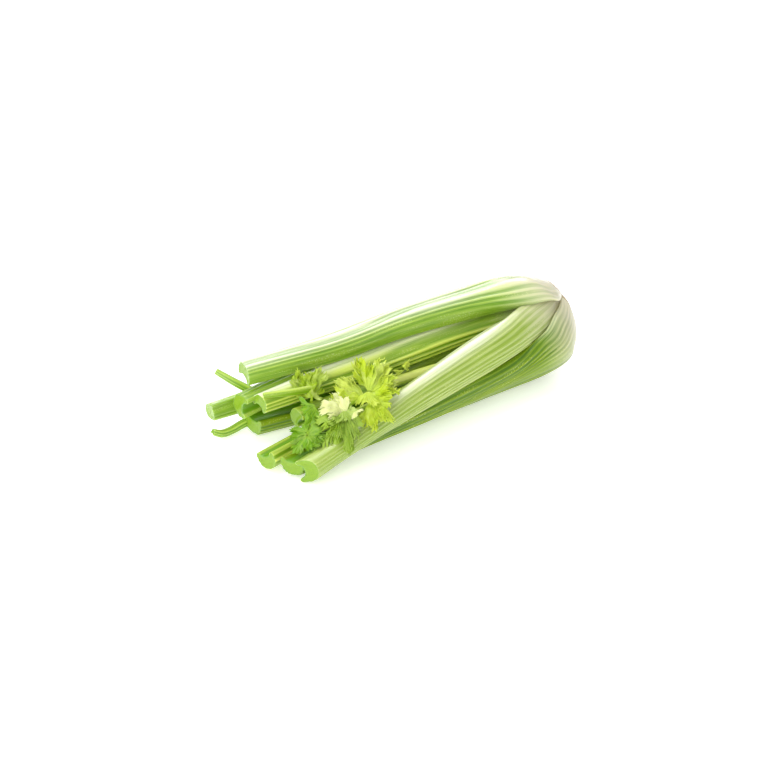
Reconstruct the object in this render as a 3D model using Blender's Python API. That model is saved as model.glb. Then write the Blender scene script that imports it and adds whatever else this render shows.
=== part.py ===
"""Head of celery lying on its side.

The root crown is at +X, the cut tops are at -X and the bunch rests on Z = 0.  Every stalk is one
closed body bridged between cross-sections along its own centreline, with a ribbed outer face and
a hollow inner face.  The tables are in millimetres and are turned into metres where meshes and
curves are made.
"""

import math
from collections import namedtuple

import bmesh
import bpy
from mathutils import Matrix, Vector

MM = 0.001

# Root crown: the flat trimmed cut, the way it faces and the plate behind it.
CROWN_CUT_CENTRE = Vector((153.0, 13.0, 60.0))
CROWN_FACING = Vector((0.84, 0.12, 0.52)).normalized()
CROWN_CUT_RADIUS = 12.5
CROWN_BACK_RADIUS = 20.5
CROWN_DEPTH = 9.0
CROWN_POINTS = 28
FOOT_DEPTH = 9.5

# Stalk resolution and ribs.
LENGTH_STEPS = 15
OUTER_POINTS = 17
INNER_POINTS = 8
RIB_SHARE = 0.055
RIM_SHARE = 0.15

# A base is a cross-section placed round the crown: the angle round it (0 toward -Y, 90 upward),
# the distance from its axis, the distance behind its cut, the width across and depth outward.
Base = namedtuple("Base", "angle radius behind width depth")

# A station is the centre of one cross-section: position, width across, depth outward and the way
# its ribbed face looks in the YZ plane (90 upward, 180 toward -Y).
Station = namedtuple("Station", "x y z width depth face")

# hollow is the share of the depth scooped out of the inner face.
Stalk = namedtuple("Stalk", "name tint hollow ribs bases stations")

STALKS = (
    Stalk("stalk_top_outer", "outer", 0.42, 5, (
        Base(93, 16.5, FOOT_DEPTH, 24, 6), Base(99, 22, 18, 36, 10)), (
        Station(96, 18.5, 69.8, 31.5, 13.5, 97), Station(18, 19, 65.5, 27, 13, 98),
        Station(-42, 21, 58.5, 24, 13, 100), Station(-108, 28, 52, 19, 12.5, 104))),
    Stalk("stalk_front_cross", "pale", 0.40, 5, (
        Base(28, 15.0, FOOT_DEPTH, 10, 5), Base(26, 22.5, 26, 23.5, 9)), (
        Station(95, -21.5, 50.5, 28.8, 12.5, 147), Station(48, -30, 43.8, 28, 13, 148),
        Station(-14, -42.5, 31.5, 24, 13, 154), Station(-64, -51, 18, 21, 13, 162),
        Station(-99, -57, 10.5, 20, 13, 168))),
    Stalk("stalk_front_lower", "outer", 0.45, 6, (
        Base(-31, 16.5, FOOT_DEPTH, 23, 6), Base(-24, 31, 16.5, 40, 9)), (
        Station(134, -21, 25.5, 42, 11.5, 207), Station(95, -20, 14.6, 37, 12.5, 217),
        Station(30, -22.5, 11, 34, 14, 226), Station(-40, -31.5, 8.7, 23, 13, 245),
        Station(-109, -44, 7.3, 17, 12.5, 262))),
    Stalk("stalk_upper_inner", "inner", 0.45, 4, (
        Base(88, 6.0, FOOT_DEPTH, 10, 4), Base(95, 13, 33, 19, 9)), (
        Station(85, 12, 51.5, 24, 11, 118), Station(23, 8, 48, 26, 13, 116),
        Station(-35, 9, 42.5, 22, 12, 114), Station(-105, 7, 36, 15, 11, 112))),
    Stalk("stalk_back_upper", "outer", 0.45, 5, (
        Base(163, 16.5, FOOT_DEPTH, 15.5, 6), Base(162, 26.5, 26, 25, 10)), (
        Station(90, 41, 48, 27, 13, 33), Station(24, 42, 43, 27, 13, 29),
        Station(-35, 35, 37, 25, 13, 25), Station(-118, 22, 29, 21, 13, 18))),
    Stalk("stalk_back_lower", "outer", 0.25, 4, (
        Base(213.5, 16.5, FOOT_DEPTH, 12.5, 6), Base(216.5, 31, 28, 21, 9)), (
        Station(100, 44.5, 21, 23.5, 12, 326), Station(30, 48, 18, 22, 12, 330),
        Station(-50, 46, 17, 18, 13, 335), Station(-134, 37.5, 19, 13.5, 12.5, 340))),
    Stalk("stalk_bottom_back", "outer", 0.45, 4, (
        Base(262, 16.5, FOOT_DEPTH, 15.5, 6), Base(269, 29, 26, 26, 9)), (
        Station(108, 18.5, 9, 24.5, 12, 278), Station(30, 20, 6.8, 24, 13, 277),
        Station(-40, 21, 6.7, 22, 13, 276), Station(-106, 22, 7, 20, 13, 276))),
    Stalk("stalk_bottom_middle", "inner", 0.40, 4, (
        Base(-75, 6.5, FOOT_DEPTH, 8.5, 4), Base(-75, 14, 32, 18, 9)), (
        Station(95, 1, 22, 20, 10, 258), Station(30, -1, 18.5, 21, 12, 256),
        Station(-40, -9, 11, 19, 12.5, 253), Station(-120, -27.5, 6.8, 16, 12, 250))),
    Stalk("stalk_heart_inner", "inner", 0.40, 3, (
        Base(185, 6.8, FOOT_DEPTH, 8, 4), Base(190, 10, 34, 15, 8)), (
        Station(85, 20, 36.5, 19, 9, 60), Station(24, 12, 29.5, 19, 11, 56),
        Station(-30, 1, 26, 17, 10, 48), Station(-83, -5, 24, 16, 11, 35))),
    Stalk("heart_stem", "heart", 0.10, 3, (
        Base(-20, 1.6, FOOT_DEPTH, 4.5, 4), Base(-10, 10, 34, 7.5, 5)), (
        Station(60, -11, 36, 10, 6.5, 140), Station(10, -16, 37.5, 9, 6, 140),
        Station(-24, -25, 43, 7, 5, 140))),
)

# Thin leaf stems: points (x, y, z, diameter) that a round curve passes through.
Stem = namedtuple("Stem", "name tint points")
STEM_POINTS = 10
STEM_STEPS = 4
STEMS = (
    Stem("side_stem_back", "inner", ((-86, 45, 27.5, 4.5), (-104, 49, 31, 5.5), (-119, 60, 38, 5))),
    Stem("side_stem_low", "inner", ((-80, 35, 4.5, 6), (-112, 35.5, 4.5, 5.5), (-136, 28, 8, 6.5))),
    Stem("leaf_stem_upper", "heart", ((-62, -7, 44.5, 4.5), (-84, -3, 44.5, 4.5), (-104, 3, 44, 3.5))),
)

# Leaves: a star of lobes round the point where they meet the stem.  tilt turns the blade about X,
# from flat on the surface toward standing up; a lobe is (angle in the blade, length, half spread).
Leaf = namedtuple("Leaf", "name centre tilt cup lobes")
LEAVES = (
    Leaf("leaf_bright", (-35, -36, 50), 40, 4, (
        (56, 29, 26), (92, 24, 20), (157, 27, 30), (22, 23, 22), (-14, 18, 24),
        (-58, 19, 26), (-94, 31, 22), (-112, 32, 24), (205, 13, 40))),
    Leaf("leaf_pale_curled", (-65, -45, 41), 44, 4, (
        (139, 17, 34), (90, 14, 36), (20, 16, 36), (-74, 22, 30), (-95, 26, 28),
        (-120, 27, 30), (-165, 15, 34))),
    Leaf("leaf_green_low", (-90, -32, 27), 37, 3, (
        (100, 11, 34), (15, 12, 36), (140, 15, 30), (208, 13, 34), (258, 13, 34))),
    Leaf("leaf_small_upper", (-75, -15, 49), 38, 3, (
        (70, 21, 26), (102, 18, 22), (124, 18, 24), (12, 12, 36), (200, 6, 60), (290, 6, 60))),
    Leaf("leaf_heart_scrap", (4, -14.5, 45.2), 26, 1, (
        (75, 9, 34), (20, 10, 34), (140, 8, 36), (195, 9, 34))),
)
BLADE_THICKNESS = 1.0
BLADE_SPOKES = 56
BLADE_RINGS = 3
BLADE_TEETH = 0.10
BLADE_WEB_SHARE = 0.30
BLADE_RIPPLE = 0.06

# Linear colours of the skin of each kind of piece.
TINTS = {
    "crown": (0.80, 0.72, 0.48, 1.0),
    "outer": (0.36, 0.56, 0.11, 1.0),
    "pale": (0.58, 0.72, 0.26, 1.0),
    "inner": (0.44, 0.60, 0.14, 1.0),
    "heart": (0.70, 0.76, 0.26, 1.0),
    "leaf": (0.52, 0.74, 0.06, 1.0),
}
SKIN_ROUGHNESS = 0.38


def clear_scene():
    for obj in list(bpy.data.objects):
        bpy.data.objects.remove(obj, do_unlink=True)


def skin(name, tint):
    material = bpy.data.materials.new(name + "_skin")
    material.use_nodes = True
    shader = material.node_tree.nodes["Principled BSDF"]
    shader.inputs["Base Color"].default_value = TINTS[tint]
    shader.inputs["Roughness"].default_value = SKIN_ROUGHNESS
    shader.inputs["Metallic"].default_value = 0.0
    return material


def add_object(name, data, tint):
    data.materials.append(skin(name, tint))
    obj = bpy.data.objects.new(name, data)
    bpy.context.scene.collection.objects.link(obj)
    return obj


def add_mesh(name, bm, tint):
    """Turn a millimetre bmesh into a smooth object in metres with its faces pointing out."""
    bmesh.ops.scale(bm, vec=(MM, MM, MM), verts=bm.verts)
    bmesh.ops.recalc_face_normals(bm, faces=bm.faces)
    mesh = bpy.data.meshes.new(name)
    bm.to_mesh(mesh)
    bm.free()
    mesh.shade_smooth()
    return add_object(name, mesh, tint)


def crown_radial(angle):
    """Direction away from the crown's axis at an angle round it."""
    up = (Vector((0, 0, 1)) - CROWN_FACING * CROWN_FACING.z).normalized()
    front = CROWN_FACING.cross(up)
    turn = math.radians(angle)
    return front * math.cos(turn) + up * math.sin(turn)


def crown_point(angle, radius, behind):
    return CROWN_CUT_CENTRE - CROWN_FACING * behind + crown_radial(angle) * radius


def smooth_rows(rows, per_span=12):
    """Rows of numbers on a smooth curve that passes through the given rows."""
    fine = []
    last = len(rows) - 1
    for i in range(last):
        around = (rows[max(i - 1, 0)], rows[i], rows[i + 1], rows[min(i + 2, last)])
        for k in range(per_span):
            t = k / per_span
            fine.append([0.5 * (2 * q + (r - p) * t + (2 * p - 5 * q + 4 * r - s) * t * t
                                + (3 * q - p - 3 * r + s) * t ** 3)
                         for p, q, r, s in zip(*around)])
    fine.append(list(rows[last]))
    return fine


def sample_rows(rows, count):
    """Rows spread along the smooth curve, closer together where a stalk bends from its foot."""
    fine = smooth_rows(rows)
    lengths = [0.0]
    for p, q in zip(fine, fine[1:]):
        lengths.append(lengths[-1] + math.dist(p[:3], q[:3]))
    samples = []
    at = 0
    for i in range(count):
        share = i / (count - 1)
        want = lengths[-1] * (0.55 * share + 0.45 * share * share)
        while at < len(fine) - 2 and lengths[at + 1] < want:
            at += 1
        step = (want - lengths[at]) / (lengths[at + 1] - lengths[at])
        samples.append([p + (q - p) * step for p, q in zip(fine[at], fine[at + 1])])
    return samples


def stalk_rows(stalk):
    """Every cross-section of a stalk as position, width, depth and outward direction."""
    rows = []
    for base in stalk.bases:
        place = crown_point(base.angle, base.radius, base.behind)
        rows.append([*place, base.width, base.depth, *crown_radial(base.angle)])
    for station in stalk.stations:
        face = math.radians(station.face)
        rows.append([*station[:5], 0.0, math.cos(face), math.sin(face)])
    return rows


def stalk_section(width, depth, hollow, ribs):
    """Outline of one cross-section: ribbed outer arc, then the smooth hollow inner arc."""
    outline = []
    for i in range(OUTER_POINTS):
        turn = math.pi * i / (OUTER_POINTS - 1)
        across = math.copysign(abs(math.cos(turn)) ** 0.80, math.cos(turn))
        out = math.sin(turn) ** 0.70
        rib = 1.0 + RIB_SHARE * math.cos(2 * ribs * turn) * out
        outline.append((0.5 * width * across * rib, depth * (out * rib - 0.5)))
    half_hollow = (0.5 - RIM_SHARE) * width
    rim_depth = 0.58 * depth
    for i in range(INNER_POINTS):
        turn = math.pi * (i + 0.35) / (INNER_POINTS - 0.3)
        rise = math.sin(turn) ** 0.8 * (rim_depth + depth * (hollow - 0.5))
        outline.append((-half_hollow * math.cos(turn), rise - rim_depth))
    return outline


def bridge_rings(bm, rings):
    """Closed body through rings of points: bridge each ring to the next and fill both ends."""
    loops = []
    for ring in rings:
        verts = [bm.verts.new(p) for p in ring]
        loops.append([bm.edges.new((v, verts[i - 1])) for i, v in enumerate(verts)])
    for near, far in zip(loops, loops[1:]):
        bmesh.ops.bridge_loops(bm, edges=near + far)
    bmesh.ops.edgeloop_fill(bm, edges=loops[0])
    bmesh.ops.edgeloop_fill(bm, edges=loops[-1])


def build_stalk(stalk):
    samples = sample_rows(stalk_rows(stalk), LENGTH_STEPS)
    points = [Vector(row[:3]) for row in samples]
    rings = []
    for i, row in enumerate(samples):
        ahead = points[min(i + 1, len(points) - 1)]
        behind = points[max(i - 1, 0)]
        tangent = (ahead - behind).normalized()
        want = Vector(row[5:8])
        out = (want - tangent * want.dot(tangent)).normalized()
        side = tangent.cross(out)
        outline = stalk_section(row[3], row[4], stalk.hollow, stalk.ribs)
        rings.append([points[i] + side * u + out * v for u, v in outline])
    # The foot is cut parallel to the crown plate so that it sits flat against it.
    rings[0] = [p - CROWN_FACING * (p - points[0]).dot(CROWN_FACING) for p in rings[0]]
    bm = bmesh.new()
    bridge_rings(bm, rings)
    return add_mesh(stalk.name, bm, stalk.tint)


def build_stem(stem):
    """Round stem: a smooth curve with a bevel and filled ends."""
    curve = bpy.data.curves.new(stem.name, "CURVE")
    curve.dimensions = "3D"
    curve.bevel_depth = 0.5 * MM
    curve.bevel_resolution = (STEM_POINTS - 4) // 2
    curve.use_fill_caps = True
    rows = smooth_rows(stem.points, STEM_STEPS)
    spline = curve.splines.new("POLY")
    spline.points.add(len(rows) - 1)
    for point, row in zip(spline.points, rows):
        point.co = (row[0] * MM, row[1] * MM, row[2] * MM, 1.0)
        point.radius = row[3]
    return add_object(stem.name, curve, stem.tint)


def blade_reach(lobes, angle):
    """How far the blade reaches at an angle: the longest lobe there, never less than a web."""
    reach = BLADE_WEB_SHARE * max(length for _, length, _ in lobes)
    for lobe_angle, length, spread in lobes:
        off = abs((angle - lobe_angle + 180.0) % 360.0 - 180.0) / spread
        reach = max(reach, length * (1.0 - off ** 1.4))
    return reach


def build_leaf(leaf):
    """Leaf blade: a cupped, rippled and toothed star of lobes, thickened to a plate."""
    longest = max(length for _, length, _ in leaf.lobes)
    bm = bmesh.new()
    centre = bm.verts.new()
    inner = [centre] * BLADE_SPOKES
    for ring in range(1, BLADE_RINGS + 1):
        outer = []
        for spoke in range(BLADE_SPOKES):
            angle = 360.0 * spoke / BLADE_SPOKES
            r = blade_reach(leaf.lobes, angle) * ring / BLADE_RINGS
            if ring == BLADE_RINGS:
                r *= 1.0 + (BLADE_TEETH if spoke % 2 else -BLADE_TEETH)
            turn = math.radians(angle)
            sag = BLADE_RIPPLE * r * math.sin(5 * turn) - leaf.cup * (r / longest) ** 2
            outer.append(bm.verts.new((r * math.cos(turn), r * math.sin(turn), sag)))
        for i in range(BLADE_SPOKES):
            corners = (inner[i - 1], outer[i - 1], outer[i], inner[i])
            bm.faces.new(corners if ring > 1 else corners[:3])
        inner = outer
    tilt = Matrix.Rotation(math.radians(leaf.tilt), 4, "X")
    bmesh.ops.transform(bm, matrix=Matrix.Translation(leaf.centre) @ tilt, verts=bm.verts)
    obj = add_mesh(leaf.name, bm, "leaf")
    solid = obj.modifiers.new("thickness", "SOLIDIFY")
    solid.thickness = BLADE_THICKNESS * MM
    solid.offset = 0.0
    return obj


def build_crown():
    """Short root plate: flat trimmed cut, a widening side and a flat back the stalks stand on."""
    middle_radius = 0.5 * (CROWN_CUT_RADIUS + CROWN_BACK_RADIUS) + 0.9
    profile = ((CROWN_CUT_RADIUS - 1.2, 0.0), (CROWN_CUT_RADIUS, 0.8),
               (middle_radius, 0.5 * CROWN_DEPTH), (CROWN_BACK_RADIUS, CROWN_DEPTH - 1.2),
               (CROWN_BACK_RADIUS - 0.6, CROWN_DEPTH))
    rings = []
    for radius, behind in profile:
        ring = []
        for i in range(CROWN_POINTS):
            angle = 360.0 * i / CROWN_POINTS
            wave = 1.0 + 0.035 * math.sin(math.radians(3 * angle + 40))
            ring.append(crown_point(angle, radius * wave, behind))
        rings.append(ring)
    bm = bmesh.new()
    bridge_rings(bm, rings)
    return add_mesh("root_crown", bm, "crown")


def mesh_points(obj, graph):
    """Every vertex of an object's finished mesh, modifiers and bevels included."""
    finished = obj.evaluated_get(graph)
    points = [vertex.co.copy() for vertex in finished.to_mesh().vertices]
    finished.to_mesh_clear()
    return points


def stand_on_origin(objects):
    """Hang every piece on one empty, placed so that the origin is the head's bottom centre."""
    head = bpy.data.objects.new("head", None)
    bpy.context.scene.collection.objects.link(head)
    graph = bpy.context.evaluated_depsgraph_get()
    points = []
    for obj in objects:
        points += mesh_points(obj, graph)
        obj.parent = head
    low = [min(p[k] for p in points) for k in range(3)]
    high = [max(p[k] for p in points) for k in range(3)]
    head.location = (-0.5 * (low[0] + high[0]), -0.5 * (low[1] + high[1]), -low[2])


def main():
    clear_scene()
    objects = [build_crown()]
    objects += [build_stalk(stalk) for stalk in STALKS]
    objects += [build_stem(stem) for stem in STEMS]
    objects += [build_leaf(leaf) for leaf in LEAVES]
    stand_on_origin(objects)


main()
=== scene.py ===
"""Head of celery lying on its side: waxy ribbed stalks, wet cut tops, a trimmed root and heart leaves.

The file is laid out as an add-on and run as a script.  Tables are in millimetres and are turned
into metres where meshes are made.
"""

import math
from collections import namedtuple

import bpy
import numpy as np
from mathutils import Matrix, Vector, noise


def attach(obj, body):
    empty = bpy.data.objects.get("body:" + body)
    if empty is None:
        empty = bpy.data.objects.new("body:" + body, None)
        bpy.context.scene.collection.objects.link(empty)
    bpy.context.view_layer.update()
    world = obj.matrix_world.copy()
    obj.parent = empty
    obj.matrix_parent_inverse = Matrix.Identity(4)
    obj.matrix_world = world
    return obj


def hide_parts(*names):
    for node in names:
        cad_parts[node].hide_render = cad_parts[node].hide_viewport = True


bl_info = {
    "name": "Celery head",
    "version": (1, 0, 0),
    "blender": (4, 5, 0),
    "location": "View3D > Sidebar > Celery",
    "description": "Grows a head of celery round its packed solids",
    "category": "Add Mesh",
}

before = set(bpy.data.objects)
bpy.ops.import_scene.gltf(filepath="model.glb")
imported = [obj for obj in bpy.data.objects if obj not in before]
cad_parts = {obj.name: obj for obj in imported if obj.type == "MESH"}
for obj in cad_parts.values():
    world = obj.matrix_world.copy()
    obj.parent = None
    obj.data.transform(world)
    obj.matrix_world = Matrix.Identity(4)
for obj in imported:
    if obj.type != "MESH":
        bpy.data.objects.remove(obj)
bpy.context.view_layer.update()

MM = 0.001

# Where the tables' own zero stands in the frame, whose origin is the head's bottom centre.
TABLE_ZERO = Vector((-10.94, 1.0, 1.43))

# Root crown: the middle of the trimmed cut, the way it faces and how far behind it the lowest
# section of most stalks lies.
CROWN_CUT_CENTRE = Vector((153.0, 13.0, 60.0))
CROWN_FACING = Vector((0.84, 0.12, 0.52)).normalized()
FOOT_DEPTH = 9.5

# A base is a cross-section placed round the crown: the angle round it (0 toward -Y, 90 upward),
# the distance from its axis, the distance behind its cut, the width across, depth outward and how
# many degrees its face is turned from straight outward.
Base = namedtuple("Base", "angle radius behind width depth turn")

# A station is the centre of one cross-section: position, width across, depth outward and the way
# its ribbed face looks in the YZ plane (90 upward, 180 toward -Y).
Station = namedtuple("Station", "x y z width depth face")

# hollow is how far the middle of the inner face is scooped out, as a share of the depth (negative
# bulges); ribs run the stalk's length; calm is the place across the outer face of a smooth band
# between them, and calm_crest how pale and raised that band is (0 groove, 1 crest).  On the pale
# crossing stalk that pale band along the upper edge is a painted highlight.  The two fields after
# calm_crest give how far across the outer face a painted sheen, a whitish highlight on the edge
# that the lights catch, reaches and how far it runs along the stalk.
# slant is how far the knife cut at the top runs along the stalk for each millimetre from its front
# to its back.
Stalk = namedtuple("Stalk", "node slot tone hollow ribs calm calm_crest frost frost_reach slant "
                            "bases stations")

STALKS = (
    Stalk("stalk_top_outer", "outer_stalk", "green", 0.14, 9, 0.90, 0.22, 0.76, 700, 0.05, (
        Base(75, 22.0, 8, 40, 6, -2), Base(92, 30.0, 18, 48, 10, -2)), (
        Station(88, 17, 70.2, 34, 13.5, 98), Station(18, 19, 66.0, 27, 13, 98),
        Station(-42, 21, 58.5, 24, 13, 100), Station(-108, 28, 52, 19, 12.5, 104))),
    # Pale crossing stalk: its smooth pale band near the upper edge and its sheen are painted
    # highlights.
    Stalk("stalk_front_cross", "pale_stalk", "pale", 0.22, 11, 0.18, 0.95, 0.44, 240, 0.8, (
        Base(24, 13, FOOT_DEPTH, 19, 5, 0), Base(34, 22, 26, 31, 8.5, 0)), (
        Station(92, -21, 51.5, 31.5, 12.5, 147), Station(48, -30, 43.8, 28, 13, 148),
        Station(-14, -42.5, 31.8, 23, 13, 154), Station(-64, -51, 18.8, 19, 13, 162),
        Station(-96, -56.5, 10.8, 20, 13, 168))),
    # Lies low, turned from the lights: its deep skin is painted shade.
    Stalk("stalk_front_lower", "outer_stalk", "deep", 0.10, 14, 0.55, 0.45, 0, 0, 0.75, (
        Base(-35, 26.5, 8, 42, 6, 21), Base(-24, 34.6, 20, 50, 8.5, 14),
        Base(-22, 38.2, 38, 49, 10, 13)), (
        Station(92, -22, 16.5, 39, 12.5, 211),
        Station(30, -26.5, 11.5, 37, 14, 228), Station(-40, -34, 8.9, 24, 13, 245),
        Station(-103, -43, 7.3, 17, 12.5, 262))),
    Stalk("stalk_upper_inner", "inner_stalk", "inner", 0.14, 7, 0.35, 0.75, 0.60, 700, 0.3, (
        Base(88, 6.0, FOOT_DEPTH, 10, 4, 0), Base(95, 13, 33, 19, 9, 0)), (
        Station(85, 12, 51.5, 24, 11, 118), Station(23, 8, 48, 26, 13, 116),
        Station(-35, 9, 42.5, 22, 12, 114), Station(-105, 7, 36, 15, 11, 112))),
    Stalk("stalk_back_upper", "outer_stalk", "green", 0.20, 8, 0.50, 0.50, 0, 0, 0.3, (
        Base(163, 16.5, FOOT_DEPTH, 15.5, 6, 0), Base(162, 26.5, 26, 25, 10, 0)), (
        Station(90, 41, 48, 27, 13, 33), Station(24, 42, 43, 27, 13, 29),
        Station(-35, 35, 37, 25, 13, 25), Station(-116, 22, 29, 21, 13, 18))),
    Stalk("stalk_back_lower", "outer_stalk", "green", -0.16, 7, 0.30, 0.50, 0, 0, 0.1, (
        Base(213.5, 16.5, FOOT_DEPTH, 12.5, 6, 0), Base(216.5, 31, 28, 21, 9, 0)), (
        Station(100, 44.5, 21, 23.5, 12, 326), Station(30, 48, 18, 22, 12, 330),
        Station(-50, 46, 17, 18, 13, 335), Station(-134, 37.5, 19, 13.5, 12.5, 340))),
    # Lies low, turned from the lights: its deep skin is painted shade.
    Stalk("stalk_bottom_back", "outer_stalk", "deep", 0.10, 7, 0.60, 0.50, 0, 0, 0.28, (
        Base(262, 16.5, FOOT_DEPTH, 15.5, 6, 0), Base(269, 29, 26, 26, 9, 0)), (
        Station(108, 18.5, 9, 24.5, 12, 278), Station(30, 20, 6.8, 24, 13, 277),
        Station(-40, 21, 6.7, 22, 13, 276), Station(-106, 22, 7, 20, 13, 276))),
    Stalk("stalk_bottom_middle", "inner_stalk", "inner", 0.12, 6, 0.60, 0.60, 0, 0, 0.55, (
        Base(-75, 6.5, FOOT_DEPTH, 8.5, 4, 0), Base(-75, 14, 32, 18, 9, 0)), (
        Station(95, 1, 22, 20, 10, 258), Station(30, -1, 18.5, 21, 12, 256),
        Station(-40, -9, 11, 19, 12.5, 253), Station(-116, -26.8, 6.8, 16, 12, 250))),
    Stalk("stalk_heart_inner", "inner_stalk", "inner", 0.04, 5, 0.60, 0.60, 0.3, 600, 0.25, (
        Base(185, 6.8, FOOT_DEPTH, 8, 4, 0), Base(190, 10, 34, 15, 8, 0)), (
        Station(85, 20, 36.5, 19, 9, 60), Station(24, 12, 29.5, 19, 11, 56),
        Station(-30, 1, 26, 17, 10, 48), Station(-83, -5, 24, 16, 11, 35))),
    Stalk("heart_stem", "heart_stem", "heart", -0.04, 4, 0.40, 0.70, 0, 0, 0, (
        Base(-20, 1.6, FOOT_DEPTH, 4.5, 4, 0), Base(-10, 10, 34, 7.5, 5, 0)), (
        Station(60, -11, 36, 10, 6.5, 140), Station(10, -16, 37.5, 9, 6, 140),
        Station(-24, -25, 43, 7, 5, 140))),
)

# Thin leaf stems are small stalks with no foot of their own.
STEMS = (
    Stalk("side_stem_back", "inner_stalk", "green", -0.04, 4, 0.50, 0.50, 0, 0, 0.1, (), (
        Station(-97, 44, 23.5, 6, 5, 100), Station(-108, 51, 31, 5, 5, 100),
        Station(-118, 59.5, 38, 4, 4, 100))),
    Stalk("side_stem_low", "inner_stalk", "green", 0.0, 4, 0.50, 0.50, 0, 0, 0.3, (), (
        Station(-88, 34, 6.9, 6, 5.5, 95), Station(-109.5, 31.5, 5.4, 6, 5.5, 95),
        Station(-120, 29.8, 3.6, 5.5, 5, 95), Station(-129, 27.8, 4.2, 5, 4.8, 95),
        Station(-135.5, 28, 7.2, 4, 4.2, 95))),
    Stalk("leaf_stem_upper", "inner_stalk", "inner", -0.04, 3, 0.50, 0.60, 0, 0, 0.1, (), (
        Station(-62, -7, 44.5, 4.5, 4.5, 100), Station(-84, -3, 44.5, 4.5, 4.5, 100),
        Station(-104, 3, 44, 3.5, 3.5, 100))),
)

# A leaflet is a fan from its base to its tip.  facing is roughly where its upper side looks,
# spread is half the angle of the fan, curl bends it along its length, cup bends it across and pale
# is how much painted highlight, a near-white colour standing for the light it catches, it shows.
Leaflet = namedtuple("Leaflet", "base tip facing spread lobes curl cup pale")

# A leaf is its CAD node, how yellow it is (0 green, 1 pale yellow), its leaflets and the stems
# between them, each from one point to another.
Leaf = namedtuple("Leaf", "node yellow leaflets ribs")

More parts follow.
